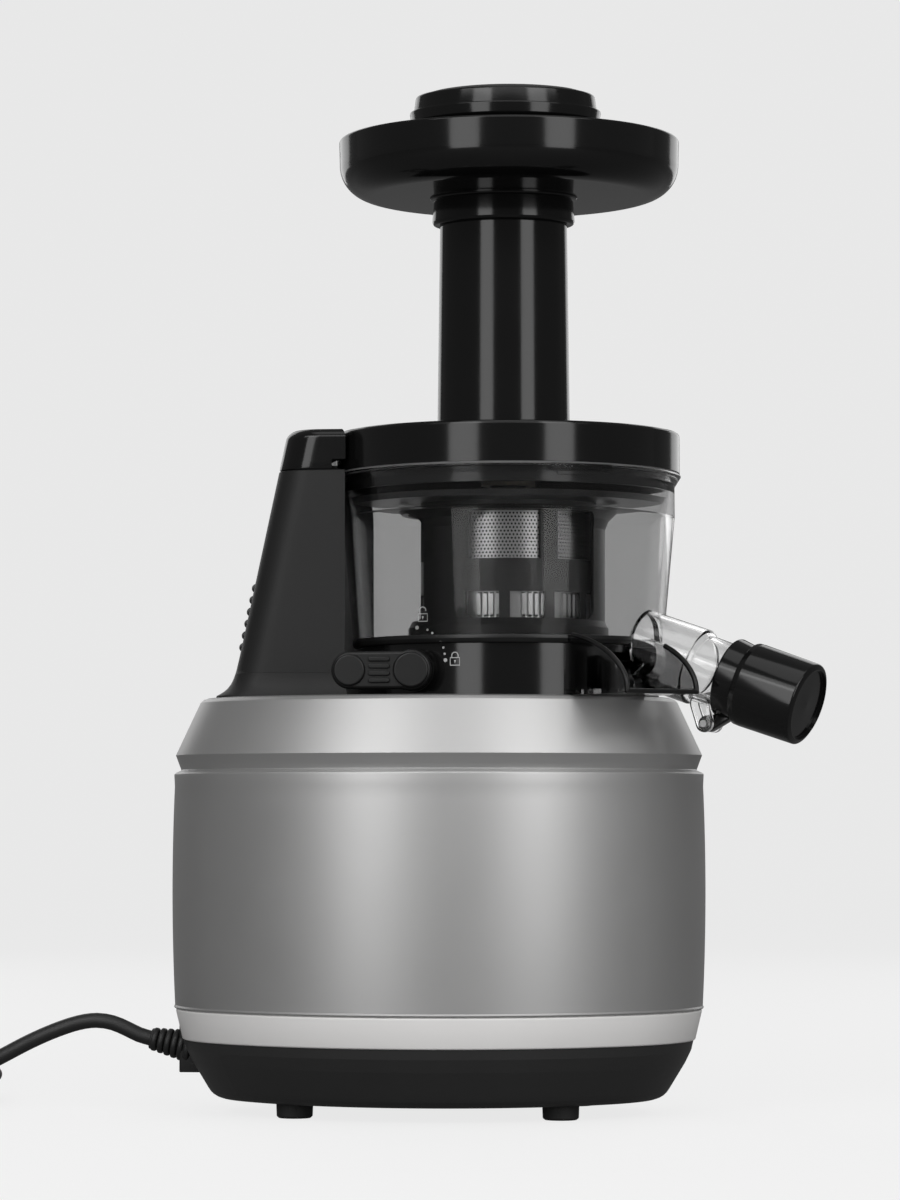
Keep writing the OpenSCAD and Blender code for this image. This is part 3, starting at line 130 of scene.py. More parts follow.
def finish_of(name, colour, rough, metal=0.0, coat=0.0, coat_rough=0.05, vary=0.06, vary_scale=35.0,
              grain=0.0, grain_scale=1800.0, rough_vary=0.05, brushed=None, specular=0.5):
    """A procedural finish: slow colour and gloss variation, and a fine moulded or brushed grain."""
    m, nt, bsdf = nodes_of(name)
    add, link = nt.nodes.new, nt.links.new
    coord = add("ShaderNodeTexCoord")
    slow = add("ShaderNodeTexNoise")
    slow.inputs["Scale"].default_value, slow.inputs["Detail"].default_value = vary_scale, 4.0
    link(coord.outputs["Object"], slow.inputs["Vector"])
    mix = add("ShaderNodeMix")
    mix.data_type = "RGBA"
    mix.inputs["A"].default_value = tuple(c * (1 - vary) for c in colour[:3]) + (1,)
    mix.inputs["B"].default_value = tuple(min(1, c * (1 + vary)) for c in colour[:3]) + (1,)
    link(slow.outputs["Fac"], mix.inputs["Factor"])
    link(mix.outputs["Result"], bsdf.inputs["Base Color"])
    gloss = add("ShaderNodeMapRange")
    gloss.inputs["To Min"].default_value = max(0.02, rough - rough_vary)
    gloss.inputs["To Max"].default_value = min(1.0, rough + rough_vary)
    link(slow.outputs["Fac"], gloss.inputs["Value"])
    link(gloss.outputs["Result"], bsdf.inputs["Roughness"])
    bsdf.inputs["Metallic"].default_value = metal
    bsdf.inputs["Coat Weight"].default_value = coat
    bsdf.inputs["Coat Roughness"].default_value = coat_rough
    bsdf.inputs["Specular IOR Level"].default_value = specular
    if grain:
        fine = add("ShaderNodeTexNoise")
        fine.inputs["Scale"].default_value, fine.inputs["Detail"].default_value = grain_scale, 3.0
        if brushed:
            stretch = add("ShaderNodeMapping")
            stretch.inputs["Scale"].default_value = brushed
            link(coord.outputs["Object"], stretch.inputs["Vector"])
            link(stretch.outputs["Vector"], fine.inputs["Vector"])
        else:
            link(coord.outputs["Object"], fine.inputs["Vector"])
        bump = add("ShaderNodeBump")
        bump.inputs["Strength"].default_value, bump.inputs["Distance"].default_value = grain, 0.0002
        link(fine.outputs["Fac"], bump.inputs["Height"])
        link(bump.outputs["Normal"], bsdf.inputs["Normal"])
    return m


def clear_of(name, colour, rough, ior=1.49, wear=0.02, specular=0.5):
    """A clear or tinted moulding, with a trace of haze that varies over it."""
    m, nt, bsdf = nodes_of(name)
    add, link = nt.nodes.new, nt.links.new
    coord, haze, gloss = add("ShaderNodeTexCoord"), add("ShaderNodeTexNoise"), add("ShaderNodeMapRange")
    haze.inputs["Scale"].default_value, haze.inputs["Detail"].default_value = 60.0, 5.0
    link(coord.outputs["Object"], haze.inputs["Vector"])
    gloss.inputs["To Min"].default_value, gloss.inputs["To Max"].default_value = rough, rough + wear
    link(haze.outputs["Fac"], gloss.inputs["Value"])
    link(gloss.outputs["Result"], bsdf.inputs["Roughness"])
    bsdf.inputs["Base Color"].default_value = colour
    bsdf.inputs["Transmission Weight"].default_value = 1.0
    bsdf.inputs["IOR"].default_value = ior
    bsdf.inputs["Specular IOR Level"].default_value = specular
    return m


M = {
    "body_silver": finish_of("body_silver", grey(180, 0.004), 0.46, metal=0.8, vary=0.02, grain=0.05,
                             grain_scale=2600, rough_vary=0.03, coat=0.15, coat_rough=0.3),
    "band_grey": finish_of("band_grey", grey(244, 0.012), 0.45, metal=0.0, vary=0.02, grain=0.04),
    "matte_black": finish_of("matte_black", grey(30), 0.52, vary=0.1, grain=0.12, grain_scale=2200,
                             specular=0.3),
    # painted light: a lighter copy of the matte black, standing in for light the bottom pan lacks from below
    "pan_black_painted_light": finish_of("pan_black_painted_light", grey(44), 0.5, vary=0.1, grain=0.12, grain_scale=2200,
                           specular=0.35),
    "gloss_black": finish_of("gloss_black", grey(17), 0.13, vary=0.12, rough_vary=0.03, specular=0.32,
                             grain=0.015, grain_scale=900),
    "satin_black": finish_of("satin_black", grey(24), 0.34, vary=0.1, grain=0.07, grain_scale=2400,
                             specular=0.3),
    "foot_rubber": finish_of("foot_rubber", grey(26), 0.72, vary=0.15, grain=0.2, grain_scale=1500),
    "steel": finish_of("steel", grey(196), 0.28, metal=1.0, vary=0.04, grain=0.1, grain_scale=500,
                       brushed=(1, 1, 14)),
    "sensor_grey": finish_of("sensor_grey", grey(120), 0.5, vary=0.08, grain=0.1),
    "switch_grey": finish_of("switch_grey", grey(70), 0.42, vary=0.08, grain=0.08),
    "lamination": finish_of("lamination", grey(140), 0.45, metal=0.9, vary=0.12, grain=0.35,
                            grain_scale=300, brushed=(1, 1, 12)),
    "copper_wire": finish_of("copper_wire", (0.55, 0.2, 0.08, 1), 0.35, metal=1.0, vary=0.12, grain=0.3,
                             grain_scale=900),
    "cast_alloy": finish_of("cast_alloy", grey(160), 0.5, metal=0.85, vary=0.08, grain=0.25,
                            grain_scale=1200),
    "gear_nylon": finish_of("gear_nylon", (0.66, 0.6, 0.48, 1), 0.45, vary=0.05, grain=0.06),
    "seal_silicone": finish_of("seal_silicone", grey(112), 0.5, vary=0.06, grain=0.08),
    "board_green": finish_of("board_green", (0.03, 0.16, 0.07, 1), 0.4, vary=0.2, vary_scale=220, grain=0.1),
    "cord_rubber": finish_of("cord_rubber", grey(30), 0.5, vary=0.12, grain=0.1, grain_scale=1600),
    "cord_sheath": finish_of("cord_sheath", grey(30), 0.42, vary=0.12, grain=0.08, grain_scale=1300),
    "smoke_clear": clear_of("smoke_clear", grey(197), 0.012, ior=1.2, specular=0.15),
    "smoke_dark": clear_of("smoke_dark", grey(128), 0.03),
    "clear_plastic": clear_of("clear_plastic", grey(234), 0.01),
    "screen_grey": finish_of("screen_grey", grey(46), 0.34, vary=0.08, grain=0.05),
    "steel_mesh": finish_of("steel_mesh", grey(178), 0.3, metal=1.0, vary=0.05, grain=0.08, grain_scale=700),
    "wiper_silicone": finish_of("wiper_silicone", grey(150), 0.55, vary=0.06, grain=0.08),
    "marking_grey": finish_of("marking_grey", grey(178), 0.55, vary=0.03, grain=0.05),
}


# ---------------------------------------------------------------- mesh helpers
def rounded(corners, steps=5):
    """A closed outline with each [a, z, radius] corner rounded off; plain [a, z] corners stay sharp."""
    out, n = [], len(corners)
    for i, corner in enumerate(corners):
        p = Vector(corner[:2])
        r = corner[2] if len(corner) > 2 else 0
        before, after = Vector(corners[i - 1][:2]) - p, Vector(corners[(i + 1) % n][:2]) - p
        if not r or before.length < 1e-6 or after.length < 1e-6:
            out.append(tuple(p))
            continue
        u, v = before.normalized(), after.normalized()
        half = math.acos(max(-1, min(1, u.dot(v)))) / 2
        if half > pi / 2 - 0.02:
            out.append(tuple(p))
            continue
        reach = min(r / math.tan(half), 0.49 * before.length, 0.49 * after.length)
        r = reach * math.tan(half)
        centre = p + (u + v).normalized() * (r / sin(half))
        a, b = p + u * reach - centre, p + v * reach - centre
        for k in range(steps + 1):
            d = a.slerp(b, k / steps) if a.angle(b) < pi - 0.01 else a.lerp(b, k / steps)
            out.append(tuple(centre + d))
    return out


def arc(cx, cz, r, start, end, steps):
    """Points round a centre, from one angle to another in degrees."""
    angles = [rad(start + (end - start) * i / steps) for i in range(steps + 1)]
    return [(cx + r * cos(a), cz + r * sin(a)) for a in angles]


def piece(name, verts, faces, slot, body="machine", replaces=(), sharp=32, matrix=None):
    """A piece from points in mm: machine frame, or its own frame with matrix."""
    me = bpy.data.meshes.new(name)
    points = [row(matrix @ Vector(v) if matrix else v) for v in verts]
    me.from_pydata(points, [], faces)
    me.validate()
    me.shade_smooth()
    me.set_sharp_from_angle(angle=rad(sharp))
    me.materials.append(M[slot])
    obj = bpy.data.objects.new(name, me)
    scene.collection.objects.link(obj)
    fix_winding(me)
    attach(obj, body)
    slot if slot != "marking_grey" else "band_grey"
    if replaces:
        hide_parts(*replaces)
    return obj


def fix_winding(me):
    """Turns a mesh's faces outward."""
    bm = bmesh.new()
    bm.from_mesh(me)
    bmesh.ops.recalc_face_normals(bm, faces=bm.faces)
    bm.to_mesh(me)
    bm.free()


def skin(rings, closed_ring=True, closed_profile=True, caps=False):
    """Faces over rings of points: rings[i][j], i along the profile and j round the ring."""
    n, m, faces = len(rings), len(rings[0]), []
    for i in range(n if closed_profile else n - 1):
        for j in range(m if closed_ring else m - 1):
            a, b = i * m + j, i * m + (j + 1) % m
            c, d = ((i + 1) % n) * m + (j + 1) % m, ((i + 1) % n) * m + j
            faces.append((a, b, c, d))
    verts = [p for ring in rings for p in ring]
    if caps:
        for ring in (0, n - 1):
            faces.append(tuple(ring * m + j for j in range(m)))
    return verts, faces


def turned(profile, x=DRUM_X, y=0.0, segs=160, start=0.0, sweep=360.0, closed=True, caps=False):
    """Revolves [r, z] points about a vertical axis."""
    full = abs(sweep) >= 360
    count = segs if full else segs + 1
    rings = [[(x + r * cos(rad(start + sweep * j / segs)), y + r * sin(rad(start + sweep * j / segs)), z)
              for j in range(count)] for r, z in profile]
    verts, faces = skin(rings, closed_ring=full, closed_profile=closed, caps=caps)
    if not full:
        for j in (0, count - 1):
            faces.append(tuple(i * count + j for i in range(len(profile))))
    return verts, faces


def oval_ring(p, a, c, z, x=0.0, y=0.0, steps=22):
    """Points round an oval of four quarter arcs with half length p, of the family (a, c)."""
    out, re, rs = [], p - c, p - c + math.sqrt(2) * c
    if re <= 0.2:
        share, widest = p / a, oval_ring(a, a, c, z, x, y, steps)
        return [(x + (q[0] - x) * share, y + (q[1] - y) * share, z) for q in widest]
    for k, (cx, cy, r) in enumerate(((c, 0, re), (0, -c, rs), (-c, 0, re), (0, c, rs))):
        for i in range(steps):
            t = rad(-45 + 90 * k + 90 * i / steps)
            out.append((x + cx + r * cos(t), y + cy + r * sin(t), z))
    return out


def oval(profile, a, c, x=0.0, y=0.0, closed=True, caps=False, steps=22):
    """Carries [half length, z] points round an oval."""
    return skin([oval_ring(p, a, c, z, x, y, steps) for p, z in profile], closed_profile=closed, caps=caps)


def joined(*parts):
    """Several sets of points and faces as one."""
    verts, faces = [], []
    for v, f in parts:
        faces += [tuple(i + len(verts) for i in face) for face in f]
        verts += v
    return verts, faces


def tube(points, radius, sides=16, caps=True, radii=None):
    """A tube along points, with its rings turned as little as possible."""
    pts = [Vector(p) for p in points]
    rings, ref = [], None
    for i, p in enumerate(pts):
        t = (pts[min(i + 1, len(pts) - 1)] - pts[max(i - 1, 0)]).normalized()
        if ref is None:
            ref = t.orthogonal().normalized()
        ref = (ref - t * ref.dot(t)).normalized()
        side = t.cross(ref)
        r = radii[i] if radii else radius
        turns = [2 * pi * k / sides for k in range(sides)]
        rings.append([tuple(p + (ref * cos(a) + side * sin(a)) * r) for a in turns])
    return skin(rings, closed_profile=False, caps=caps)


def plate(outline, z0, z1, edge=0.5, steps=3):
    """A plate over a flat outline of [x, y] points, with rounded edges."""
    n, rings = len(outline), []
    centre = Vector((sum(p[0] for p in outline) / n, sum(p[1] for p in outline) / n))
    size = max((Vector(p) - centre).length for p in outline)
    turns = [rad(90 * k / steps) for k in range(steps + 1)]
    bottom = [(edge * (1 - sin(a)), z0 + edge * (1 - cos(a))) for a in turns]
    top = [(inset, z1 - (z - z0)) for inset, z in reversed(bottom)]
    for inset, z in bottom + top:
        share = (size - inset) / size
        rings.append([(centre.x + (p[0] - centre.x) * share, centre.y + (p[1] - centre.y) * share, z)
                      for p in outline])
    return skin(rings, closed_profile=False, caps=True)


def boxy(x0, x1, y0, y1, z0, z1, edge=0.6, corner=None):
    """A block with rounded edges."""
    corner = edge * 1.6 if corner is None else corner
    out = []
    for cx, cy, a in ((x1 - corner, y1 - corner, 0), (x0 + corner, y1 - corner, 90),
                      (x0 + corner, y0 + corner, 180), (x1 - corner, y0 + corner, 270)):
        turns = [rad(a + 90 * k / 4) for k in range(5)]
        out += [(cx + corner * cos(t), cy + corner * sin(t)) for t in turns]
    return plate(out, z0, z1, edge)


def cut(obj, *tools):
    """Takes closed tool pieces out of a piece, and drops them."""
    for verts, faces in tools:
        me = bpy.data.meshes.new("tool")
        me.from_pydata([row(v) for v in verts], [], faces)
        fix_winding(me)
        tool = bpy.data.objects.new("tool", me)
        scene.collection.objects.link(tool)
        mod = obj.modifiers.new("cut", "BOOLEAN")
        mod.operation, mod.solver, mod.object = "DIFFERENCE", "EXACT", tool
        dg = bpy.context.evaluated_depsgraph_get()
        new = bpy.data.meshes.new_from_object(obj.evaluated_get(dg), depsgraph=dg)
        obj.modifiers.clear()
        old, obj.data = obj.data, new
        bpy.data.meshes.remove(old)
        bpy.data.objects.remove(tool)
        bpy.data.meshes.remove(me)
    obj.data.shade_smooth()
    obj.data.set_sharp_from_angle(angle=rad(32))
    return obj


def paint(node, slot):
    """A CAD node that stays gets its finish on every material slot."""
    obj = frame["nodes"][node]
    for s in obj.material_slots:
        s.link, s.material = "DATA", M[slot]


# ---------------------------------------------------------------- floor, backdrop and light
FLOOR_GLOW, GLOSS_SHARE, WORLD_LEVEL, WORLD_SEEN = 0.95, 0.14, 0.22, 1.05
SWEEP_R, SWEEP_Y = 1.4, 2.6     # the backdrop's curve and where it starts, in metres


def make_stage():
    """A floor that curves up into the backdrop, and the world; both glow for the camera."""
    me = bpy.data.meshes.new("floor")
    outline = [(-6.0, 0.0)]
    outline += [(SWEEP_Y + SWEEP_R * sin(rad(a)), SWEEP_R - SWEEP_R * cos(rad(a))) for a in range(0, 91, 6)]
    outline += [(4.0, 5.0)]
    verts = [(x, y, z) for x in (-7.0, 7.0) for y, z in outline]
    n = len(outline)
    me.from_pydata(verts, [], [(i, i + 1, n + i + 1, n + i) for i in range(n - 1)])
    me.shade_smooth()
    floor = bpy.data.objects.new("floor", me)
    scene.collection.objects.link(floor)
    m, nt, bsdf = nodes_of("floor_paper")
    add, link = nt.nodes.new, nt.links.new
    bsdf.inputs["Base Color"].default_value = grey(74)
    bsdf.inputs["Roughness"].default_value = 0.85
    glow, path = add("ShaderNodeEmission"), add("ShaderNodeLightPath")
    mix, add_up = add("ShaderNodeMath"), add("ShaderNodeAddShader")
    either = add("ShaderNodeMath")
    for node in (mix, either):
        node.operation = "MAXIMUM"
    link(path.outputs["Is Camera Ray"], mix.inputs[0])
    link(path.outputs["Is Transmission Ray"], mix.inputs[1])
    link(mix.outputs[0], either.inputs[0])
    share = add("ShaderNodeMath")
    share.operation = "MULTIPLY"
    share.inputs[1].default_value = GLOSS_SHARE
    link(path.outputs["Is Glossy Ray"], share.inputs[0])
    link(share.outputs[0], either.inputs[1])
    glow.inputs["Color"].default_value = grey(235)
    level = add("ShaderNodeMath")
    level.operation = "MULTIPLY"
    level.inputs[1].default_value = FLOOR_GLOW
    link(either.outputs[0], level.inputs[0])
    link(level.outputs[0], glow.inputs["Strength"])
    link(bsdf.outputs[0], add_up.inputs[0])
    link(glow.outputs[0], add_up.inputs[1])
    link(add_up.outputs[0], nt.nodes["Material Output"].inputs["Surface"])
    floor.data.materials.append(m)
    world = bpy.data.worlds.new("studio")
    scene.world = world
    world.use_nodes = True
    back = world.node_tree.nodes["Background"]
    back.inputs["Color"].default_value = grey(225)
    seen, sees, level = [world.node_tree.nodes.new(kind) for kind in
                         ("ShaderNodeLightPath", "ShaderNodeMath", "ShaderNodeMapRange")]
    sees.operation = "MAXIMUM"
    link = world.node_tree.links.new
    link(seen.outputs["Is Camera Ray"], sees.inputs[0])
    link(seen.outputs["Is Transmission Ray"], sees.inputs[1])
    level.inputs["To Min"].default_value, level.inputs["To Max"].default_value = WORLD_LEVEL, WORLD_SEEN
    link(sees.outputs[0], level.inputs["Value"])
    link(level.outputs["Result"], back.inputs["Strength"])
    scene.view_settings.view_transform = "Standard"


def softbox(name, azimuth, height, size, power, distance=1.7, aim=(0.0, 0.0, 0.22)):
    """A box lamp at an angle from the camera's own direction, to the right where positive."""
    light = bpy.data.lights.new(name, "AREA")
    light.shape, light.size, light.size_y, light.energy = "RECTANGLE", size[0], size[1], power
    obj = bpy.data.objects.new(name, light)
    scene.collection.objects.link(obj)
    a = rad(-90 + 6 + azimuth)      # the camera is turned 6 degrees
    obj.location = (distance * cos(a), distance * sin(a), height)
    obj.rotation_euler = (Vector(aim) - obj.location).to_track_quat("-Z", "Y").to_euler()


make_stage()
softbox("strip_left", -30, 0.62, (0.6, 1.3), 9)
softbox("strip_right", 33, 0.62, (0.6, 1.3), 9)
softbox("top", 10, 2.1, (1.6, 1.2), 7, distance=0.6)
softbox("front_high", 0, 1.42, (1.2, 0.5), 3.2)
softbox("high_left", -38, 1.42, (1.2, 0.5), 5.5)
softbox("high_right", 38, 1.42, (1.2, 0.5), 5.5)
softbox("back_left", -152, 0.9, (0.9, 1.2), 4)
softbox("back_right", 152, 0.9, (0.9, 1.2), 4)

# ---------------------------------------------------------------- CAD pieces that stay
for part in frame["record"]["subparts"]:
    paint(part["node"], part["material_slot"])
# the bottom pan gets the lighter copy of matte black, painted light for the shade under it
paint("bottom_pan", "pan_black_painted_light")


# ---------------------------------------------------------------- cord, boot, tie and plug
def smooth_route(points, step=3.0):
    """A Catmull-Rom line through points, about step mm apart."""
    pts = [Vector(p) for p in points]
    pts = [pts[0] * 2 - pts[1]] + pts + [pts[-1] * 2 - pts[-2]]
    out = []
    for i in range(1, len(pts) - 2):
        a, b, c, d = pts[i - 1:i + 3]
        n = max(1, round((c - b).length / step))
        for k in range(n):
            t = k / n
            square, cube = a * 2 - b * 5 + c * 4 - d, b * 3 - a - c * 3 + d
            out.append((b * 2 + (c - a) * t + square * t * t + cube * t ** 3) / 2)
    return out + [pts[-2]]


def make_boot():
    """The ribbed boot, turned about its own tilted axis."""
    profile = [(0, -1), (7.6, -1, 0.4), (7.6, 1.0, 0.6), (6.3, 1.0, 0.2)]
    for i in range(5):
        s, r = 1.6 + 3 * i, 6.0 - 0.42 * i
        profile += [(r - 0.9, s, 0.25), (r - 0.9, s + 0.5, 0.25), (r, s + 0.75, 0.3), (r, s + 1.9, 0.3),
                    (r - 0.9, s + 2.2, 0.25)]
    profile += [(CORD_R + 0.7, BOOT_LEN - 0.4, 0.3), (CORD_R + 0.1, BOOT_LEN + 0.2), (0, BOOT_LEN + 0.2)]
    turns = [2 * pi * k / 40 for k in range(40)]
    rings = [[(r * cos(a), r * sin(a), s) for a in turns] for r, s in rounded(profile, 3) if r > 0.01]
    verts, faces = skin(rings, closed_profile=False, caps=True)
    tilt = Matrix.Translation(Vector(GLAND)) @ Matrix.Rotation(rad(-90 + BOOT_TILT), 4, "Y")
    piece("cord_boot", verts, faces, "cord_rubber", replaces=("strain_relief",), matrix=tilt)


PLUG_Z, PIN_Y = 6.87, 9.3
# Along the plug: how far, half width, half height, and how square (2 is an ellipse)
PLUG_LEVELS = ((-1, 3.6, 3.6, 2), (0, 4.6, 4.6, 2), (6, 5.2, 5.0, 2), (10.5, 6.0, 5.6, 2.1),
               (13, 8.2, 6.1, 2.3), (17, 12.2, 6.5, 2.7), (22, 15.6, 6.8, 3.2), (27, 17.2, 6.84, 3.6),
               (32, 17.6, 6.84, 3.8), (36, 17.5, 6.84, 3.8), (37.4, 17.0, 6.5, 3.7), (38, 16.2, 5.8, 3.6))
PIN_LEVELS = ((37, 2.0), (55, 2.0), (56.3, 1.7), (57, 1.1))


def make_plug(at):
    """The plug's body and its two pins, on the cord's end."""
    turns = [2 * pi * k / 56 for k in range(56)]
    rings = [[(at[0] + hx * math.copysign(abs(cos(t)) ** (2 / n), cos(t)), at[1] + s,
               PLUG_Z + hz * math.copysign(abs(sin(t)) ** (2 / n), sin(t))) for t in turns]
             for s, hx, hz, n in PLUG_LEVELS]
    body = piece("plug_body", *skin(rings, closed_profile=False, caps=True), "cord_sheath",
                 replaces=("plug",), sharp=40)
    pins, turns = [], [2 * pi * k / 24 for k in range(24)]
    for side in (-1, 1):
        x = at[0] + side * PIN_Y
        rings = [[(x + r * cos(t), at[1] + s, PLUG_Z + r * sin(t)) for t in turns] for s, r in PIN_LEVELS]
        pins.append(skin(rings, closed_profile=False, caps=True))
    return body, piece("plug_pins", *joined(*pins), "steel", replaces=("plug",))


def make_tie(half_width=4.5):
    """A flat strap round both layers of the coil."""
    y0, y1 = COIL_R + (COIL_R - 2.5 * COIL_PITCH) - CORD_R, COIL_R + COIL_R + CORD_R
    z0, z1 = 0.75, COIL_Z + COIL_PITCH + CORD_R

    def loop(side, below, above, r):
        return rounded([(y0 - side, z0 - below, r), (y1 + side, z0 - below, r),
                        (y1 + side, z1 + above, r), (y0 - side, z1 + above, r)], 6)

    outer, inner, w = loop(0.7, 0.6, 0.7, 3.2), loop(0.05, 0.1, 0.1, 2.6), half_width
    rings = [[(COIL_X + x, y, z) for y, z in outline]
             for x, outline in ((-w, inner), (-w, outer), (w, outer), (w, inner))]
    return piece("cord_strap", *skin(rings, closed_profile=True), "cord_sheath", replaces=("cord_tie",),
                 sharp=40)


def make_cord():
    line = smooth_route(cord_route)
    length = sum((b - a).length for a, b in zip(line, line[1:]))
    verts, faces = tube(line, CORD_R, sides=20)
    cord = piece("power_cord", verts, faces, "cord_rubber",
                 replaces=("cord_lead", "cord_coil", "cord_tail"), sharp=60)
    make_boot()
    plug, pin = make_plug(cord_route[-1])
    tie = make_tie()
    [tuple(row(q)) for q in line]


make_cord()


# ---------------------------------------------------------------- base and column
BASE_A, BASE_C = 113.6, 36.824      # the base's half length, and the family of its oval
FOOT_X, FOOT_Y = 55.5, 43
COLUMN_TOP, COLUMN_FOOT, COLUMN_SLOPE, COLUMN_Y = 271.0, 174.5, math.tan(rad(12.1)), 38.0


def bulge(z):
    """The body's half length at a height."""
    return BASE_A - 0.0005 * (z - 96) ** 2


def make_base():
    side = [(bulge(z), z) for z in [45.4 + 92.6 * i / 16 for i in range(17)]]
    shoulder = [(112.3, 142.9, 0.35), (109.7, 144.2, 1.6), (107.5, 149.6, 6.0), (101.7, 173.2, 0.7),
                (100.3, 174.5, 0.7), (98.6, 174.5, 0.3)]
    inside = [(98.6, 170.8), (105.2, 147.4), (109.6, 140.0)] + [(bulge(z) - 2.6, z) for z in (130, 96, 60)]
    outline = rounded([(109.0, 44.5), (112.1, 44.5, 0.4)] + side + shoulder + inside, 6)
    piece("base_shell", *oval(outline, BASE_A, BASE_C, steps=30), "body_silver", replaces=("base_housing",))
    outline = rounded([(105.9, 31.5), (108.5, 31.5, 0.3), (111.5, 43.3, 0.5), (110.2, 43.9, 0.2),
                       (109.2, 44.1), (109.2, 47.5), (107.4, 47.5), (107.4, 43.0), (105.9, 38)], 4)
    band = piece("pale_band", *oval(outline, BASE_A, BASE_C, steps=30), "band_grey", replaces=("trim_band",))
    cut(band, boxy(-125, -94, -6.2, 6.2, 15.8, 38.9, 0.01, 0.02))
    gland = joined(boxy(-110.6, -98, -6.0, 6.0, 16.2, 38.6, 0.5), boxy(-99.6, -96.9, -9, 9, 20, 31, 0.3))
    piece("cord_gland", *gland, "matte_black", replaces=("strain_relief",))
    outline = rounded([(0.01, 0.02), (6.0, 0.02, 0.6), (7.0, 1.0, 0.5), (7.7, 6.0), (0.01, 6.0)], 4)
    feet = [turned(outline, x, y, segs=48) for x in (-FOOT_X, FOOT_X) for y in (-FOOT_Y, FOOT_Y)]
    piece("rubber_feet", *joined(*feet), "foot_rubber", replaces=("feet",))


def column_rear(z):
    """The X of the column's leaning rear face at a height."""
    return DRUM_X - 95.1 + (z - COLUMN_TOP) * COLUMN_SLOPE


def column_ring(z, inset=0.0, front=75.7):
    """Points round the column at a height: one side, the rear, the other side and the drum's hollow."""
    up = max(0.0, z - COLUMN_FOOT)
    flare_x = 9.6 * math.exp(-up / 3.0)
    flare_y = 3.0 * max(0.0, 1 - up / 11.0) ** 2.2 + (0.25 if up < 11.0 else 0.0)
    rear, hy, r = column_rear(z) - flare_x + inset, COLUMN_Y + flare_y - inset, 14.0 - inset * 0.6
    x0, crease = DRUM_X - math.sqrt(front ** 2 - hy ** 2), rear + r + 0.6
    ring = [(x0 + (crease - x0) * i / 8, hy) for i in range(9)]
    for a in [rad(98 + 164 * i / 16) for i in range(17)]:
        ring.append((rear + r + r * cos(a), math.copysign(1, sin(a)) * (hy - r) + r * sin(a)))
    ring += [(crease + (x0 - crease) * i / 8, -hy) for i in range(9)]
    start = math.asin(hy / front)
    for a in [pi + start - 2 * start * i / 24 for i in range(1, 24)]:
        ring.append((DRUM_X + front * cos(a), front * sin(a)))
    return [inside_base(x, y, z) if up < 10 else (x, y, z) for x, y in ring]


def inside_base(x, y, z, half_length=98.4):
    """A point of the column's foot, held inside the rounded end of the base's top."""
    if x < -BASE_C:
        d, limit = Vector((x + BASE_C, y)), half_length - BASE_C
        if d.length > limit:
            d *= limit / d.length
            x, y = d.x - BASE_C, d.y
    return (x, y, z)


def grip_rib(z, half_width=26, points=21, r=2.1, taper=1.5):
    """A round rib across the column's rear, thinner over the first points of each end."""
    x, last, radii = column_rear(z) + 0.6, points - 1, []
    for k in range(points):
        part = min(k, last - k) / taper
        radii.append(r * min(1, math.sqrt(max(0.02, 1 - (1 - part) ** 2))) if part < 1 else r)
    line = [(x, -half_width + 2 * half_width * k / last, z) for k in range(points)]
    return tube(line, r, sides=20, radii=radii)


def make_column():
    levels = [174.55, 174.9, 175.4, 176, 176.8, 177.8, 179, 180.5, 182, 183.5, 184.9, 185.45, 185.6, 187, 192]
    levels += [192 + (270.4 - 192) * i / 12 for i in range(1, 13)]
    rings = [column_ring(z) for z in levels] + [column_ring(270.8, 0.4)]
    parts = [skin(rings, closed_profile=False, caps=True)] + [grip_rib(196.6 + 5 * i) for i in range(6)]
    piece("column_body", *joined(*parts), "matte_black", replaces=("column_housing",), sharp=38)
    levels = [(271.0, 0.35), (271.25, 0.1), (271.6, 0.0)]
    levels += [(271.6 + (283.9 - 271.6) * i / 4, 0.0) for i in range(1, 5)]
    levels += [(288.2 - 4.3 + 4.3 * sin(rad(a)), 4.3 * (1 - cos(rad(a)))) for a in range(9, 91, 9)]
    rings = [column_ring(z, inset, 75.5) for z, inset in levels]
    cap = piece("column_top", *skin(rings, closed_profile=False, caps=True), "gloss_black",
                replaces=("column_cap",), sharp=38)
    cut(cap, turned([(60, 270), (80.6, 270), (80.6, 275.2), (60, 275.2)], start=171.4, sweep=42, segs=24))


make_base()
make_column()


# ---------------------------------------------------------------- drum: bowl, lid and skirt
SPOUT_TURN, SPOUT_TILT, SPOUT_Z, SPOUT_START = rad(-21), rad(18.5), 196.9, 60
CHUTE_TURN = rad(-46)


def spout_axes():
    """The start of the juice spout's axis, and its directions along, up and across."""
    az, tilt = SPOUT_TURN, SPOUT_TILT
    out = Vector((cos(az), sin(az), 0))
    along = out * cos(tilt) + Vector((0, 0, -sin(tilt)))
    up = out * sin(tilt) + Vector((0, 0, cos(tilt)))
    side = along.cross(up)
    origin = Vector((DRUM_X, 0, SPOUT_Z)) + out * SPOUT_START
    return origin, along, up, side


def spout_turned(profile, segs=96, closed=True, caps=False):
    """Revolves [r, s] points about the spout's axis."""
    origin, along, up, side = spout_axes()
    turns = [2 * pi * j / segs for j in range(segs)]
    rings = [[tuple(origin + along * s + (up * cos(a) + side * sin(a)) * r) for a in turns]
             for r, s in profile]
    return skin(rings, closed_profile=closed, caps=caps)


def chute_place(p):
    """A point of the chute's own frame, out along its direction, as one of the machine frame."""
    a = CHUTE_TURN
    return (DRUM_X + p[0] * cos(a) - p[1] * sin(a), p[0] * sin(a) + p[1] * cos(a), p[2])


def sector_plate(r0, r1, z0, z1, start, sweep, edge=0.5):
    """Part of a flat ring round the drum's axis, with its outer edges rounded."""
    outline = rounded([(r0, z0), (r1, z0, edge), (r1, z1, edge), (r0, z1)], 3)
    return turned(outline, start=start, sweep=sweep, segs=max(6, int(abs(sweep) / 2)))


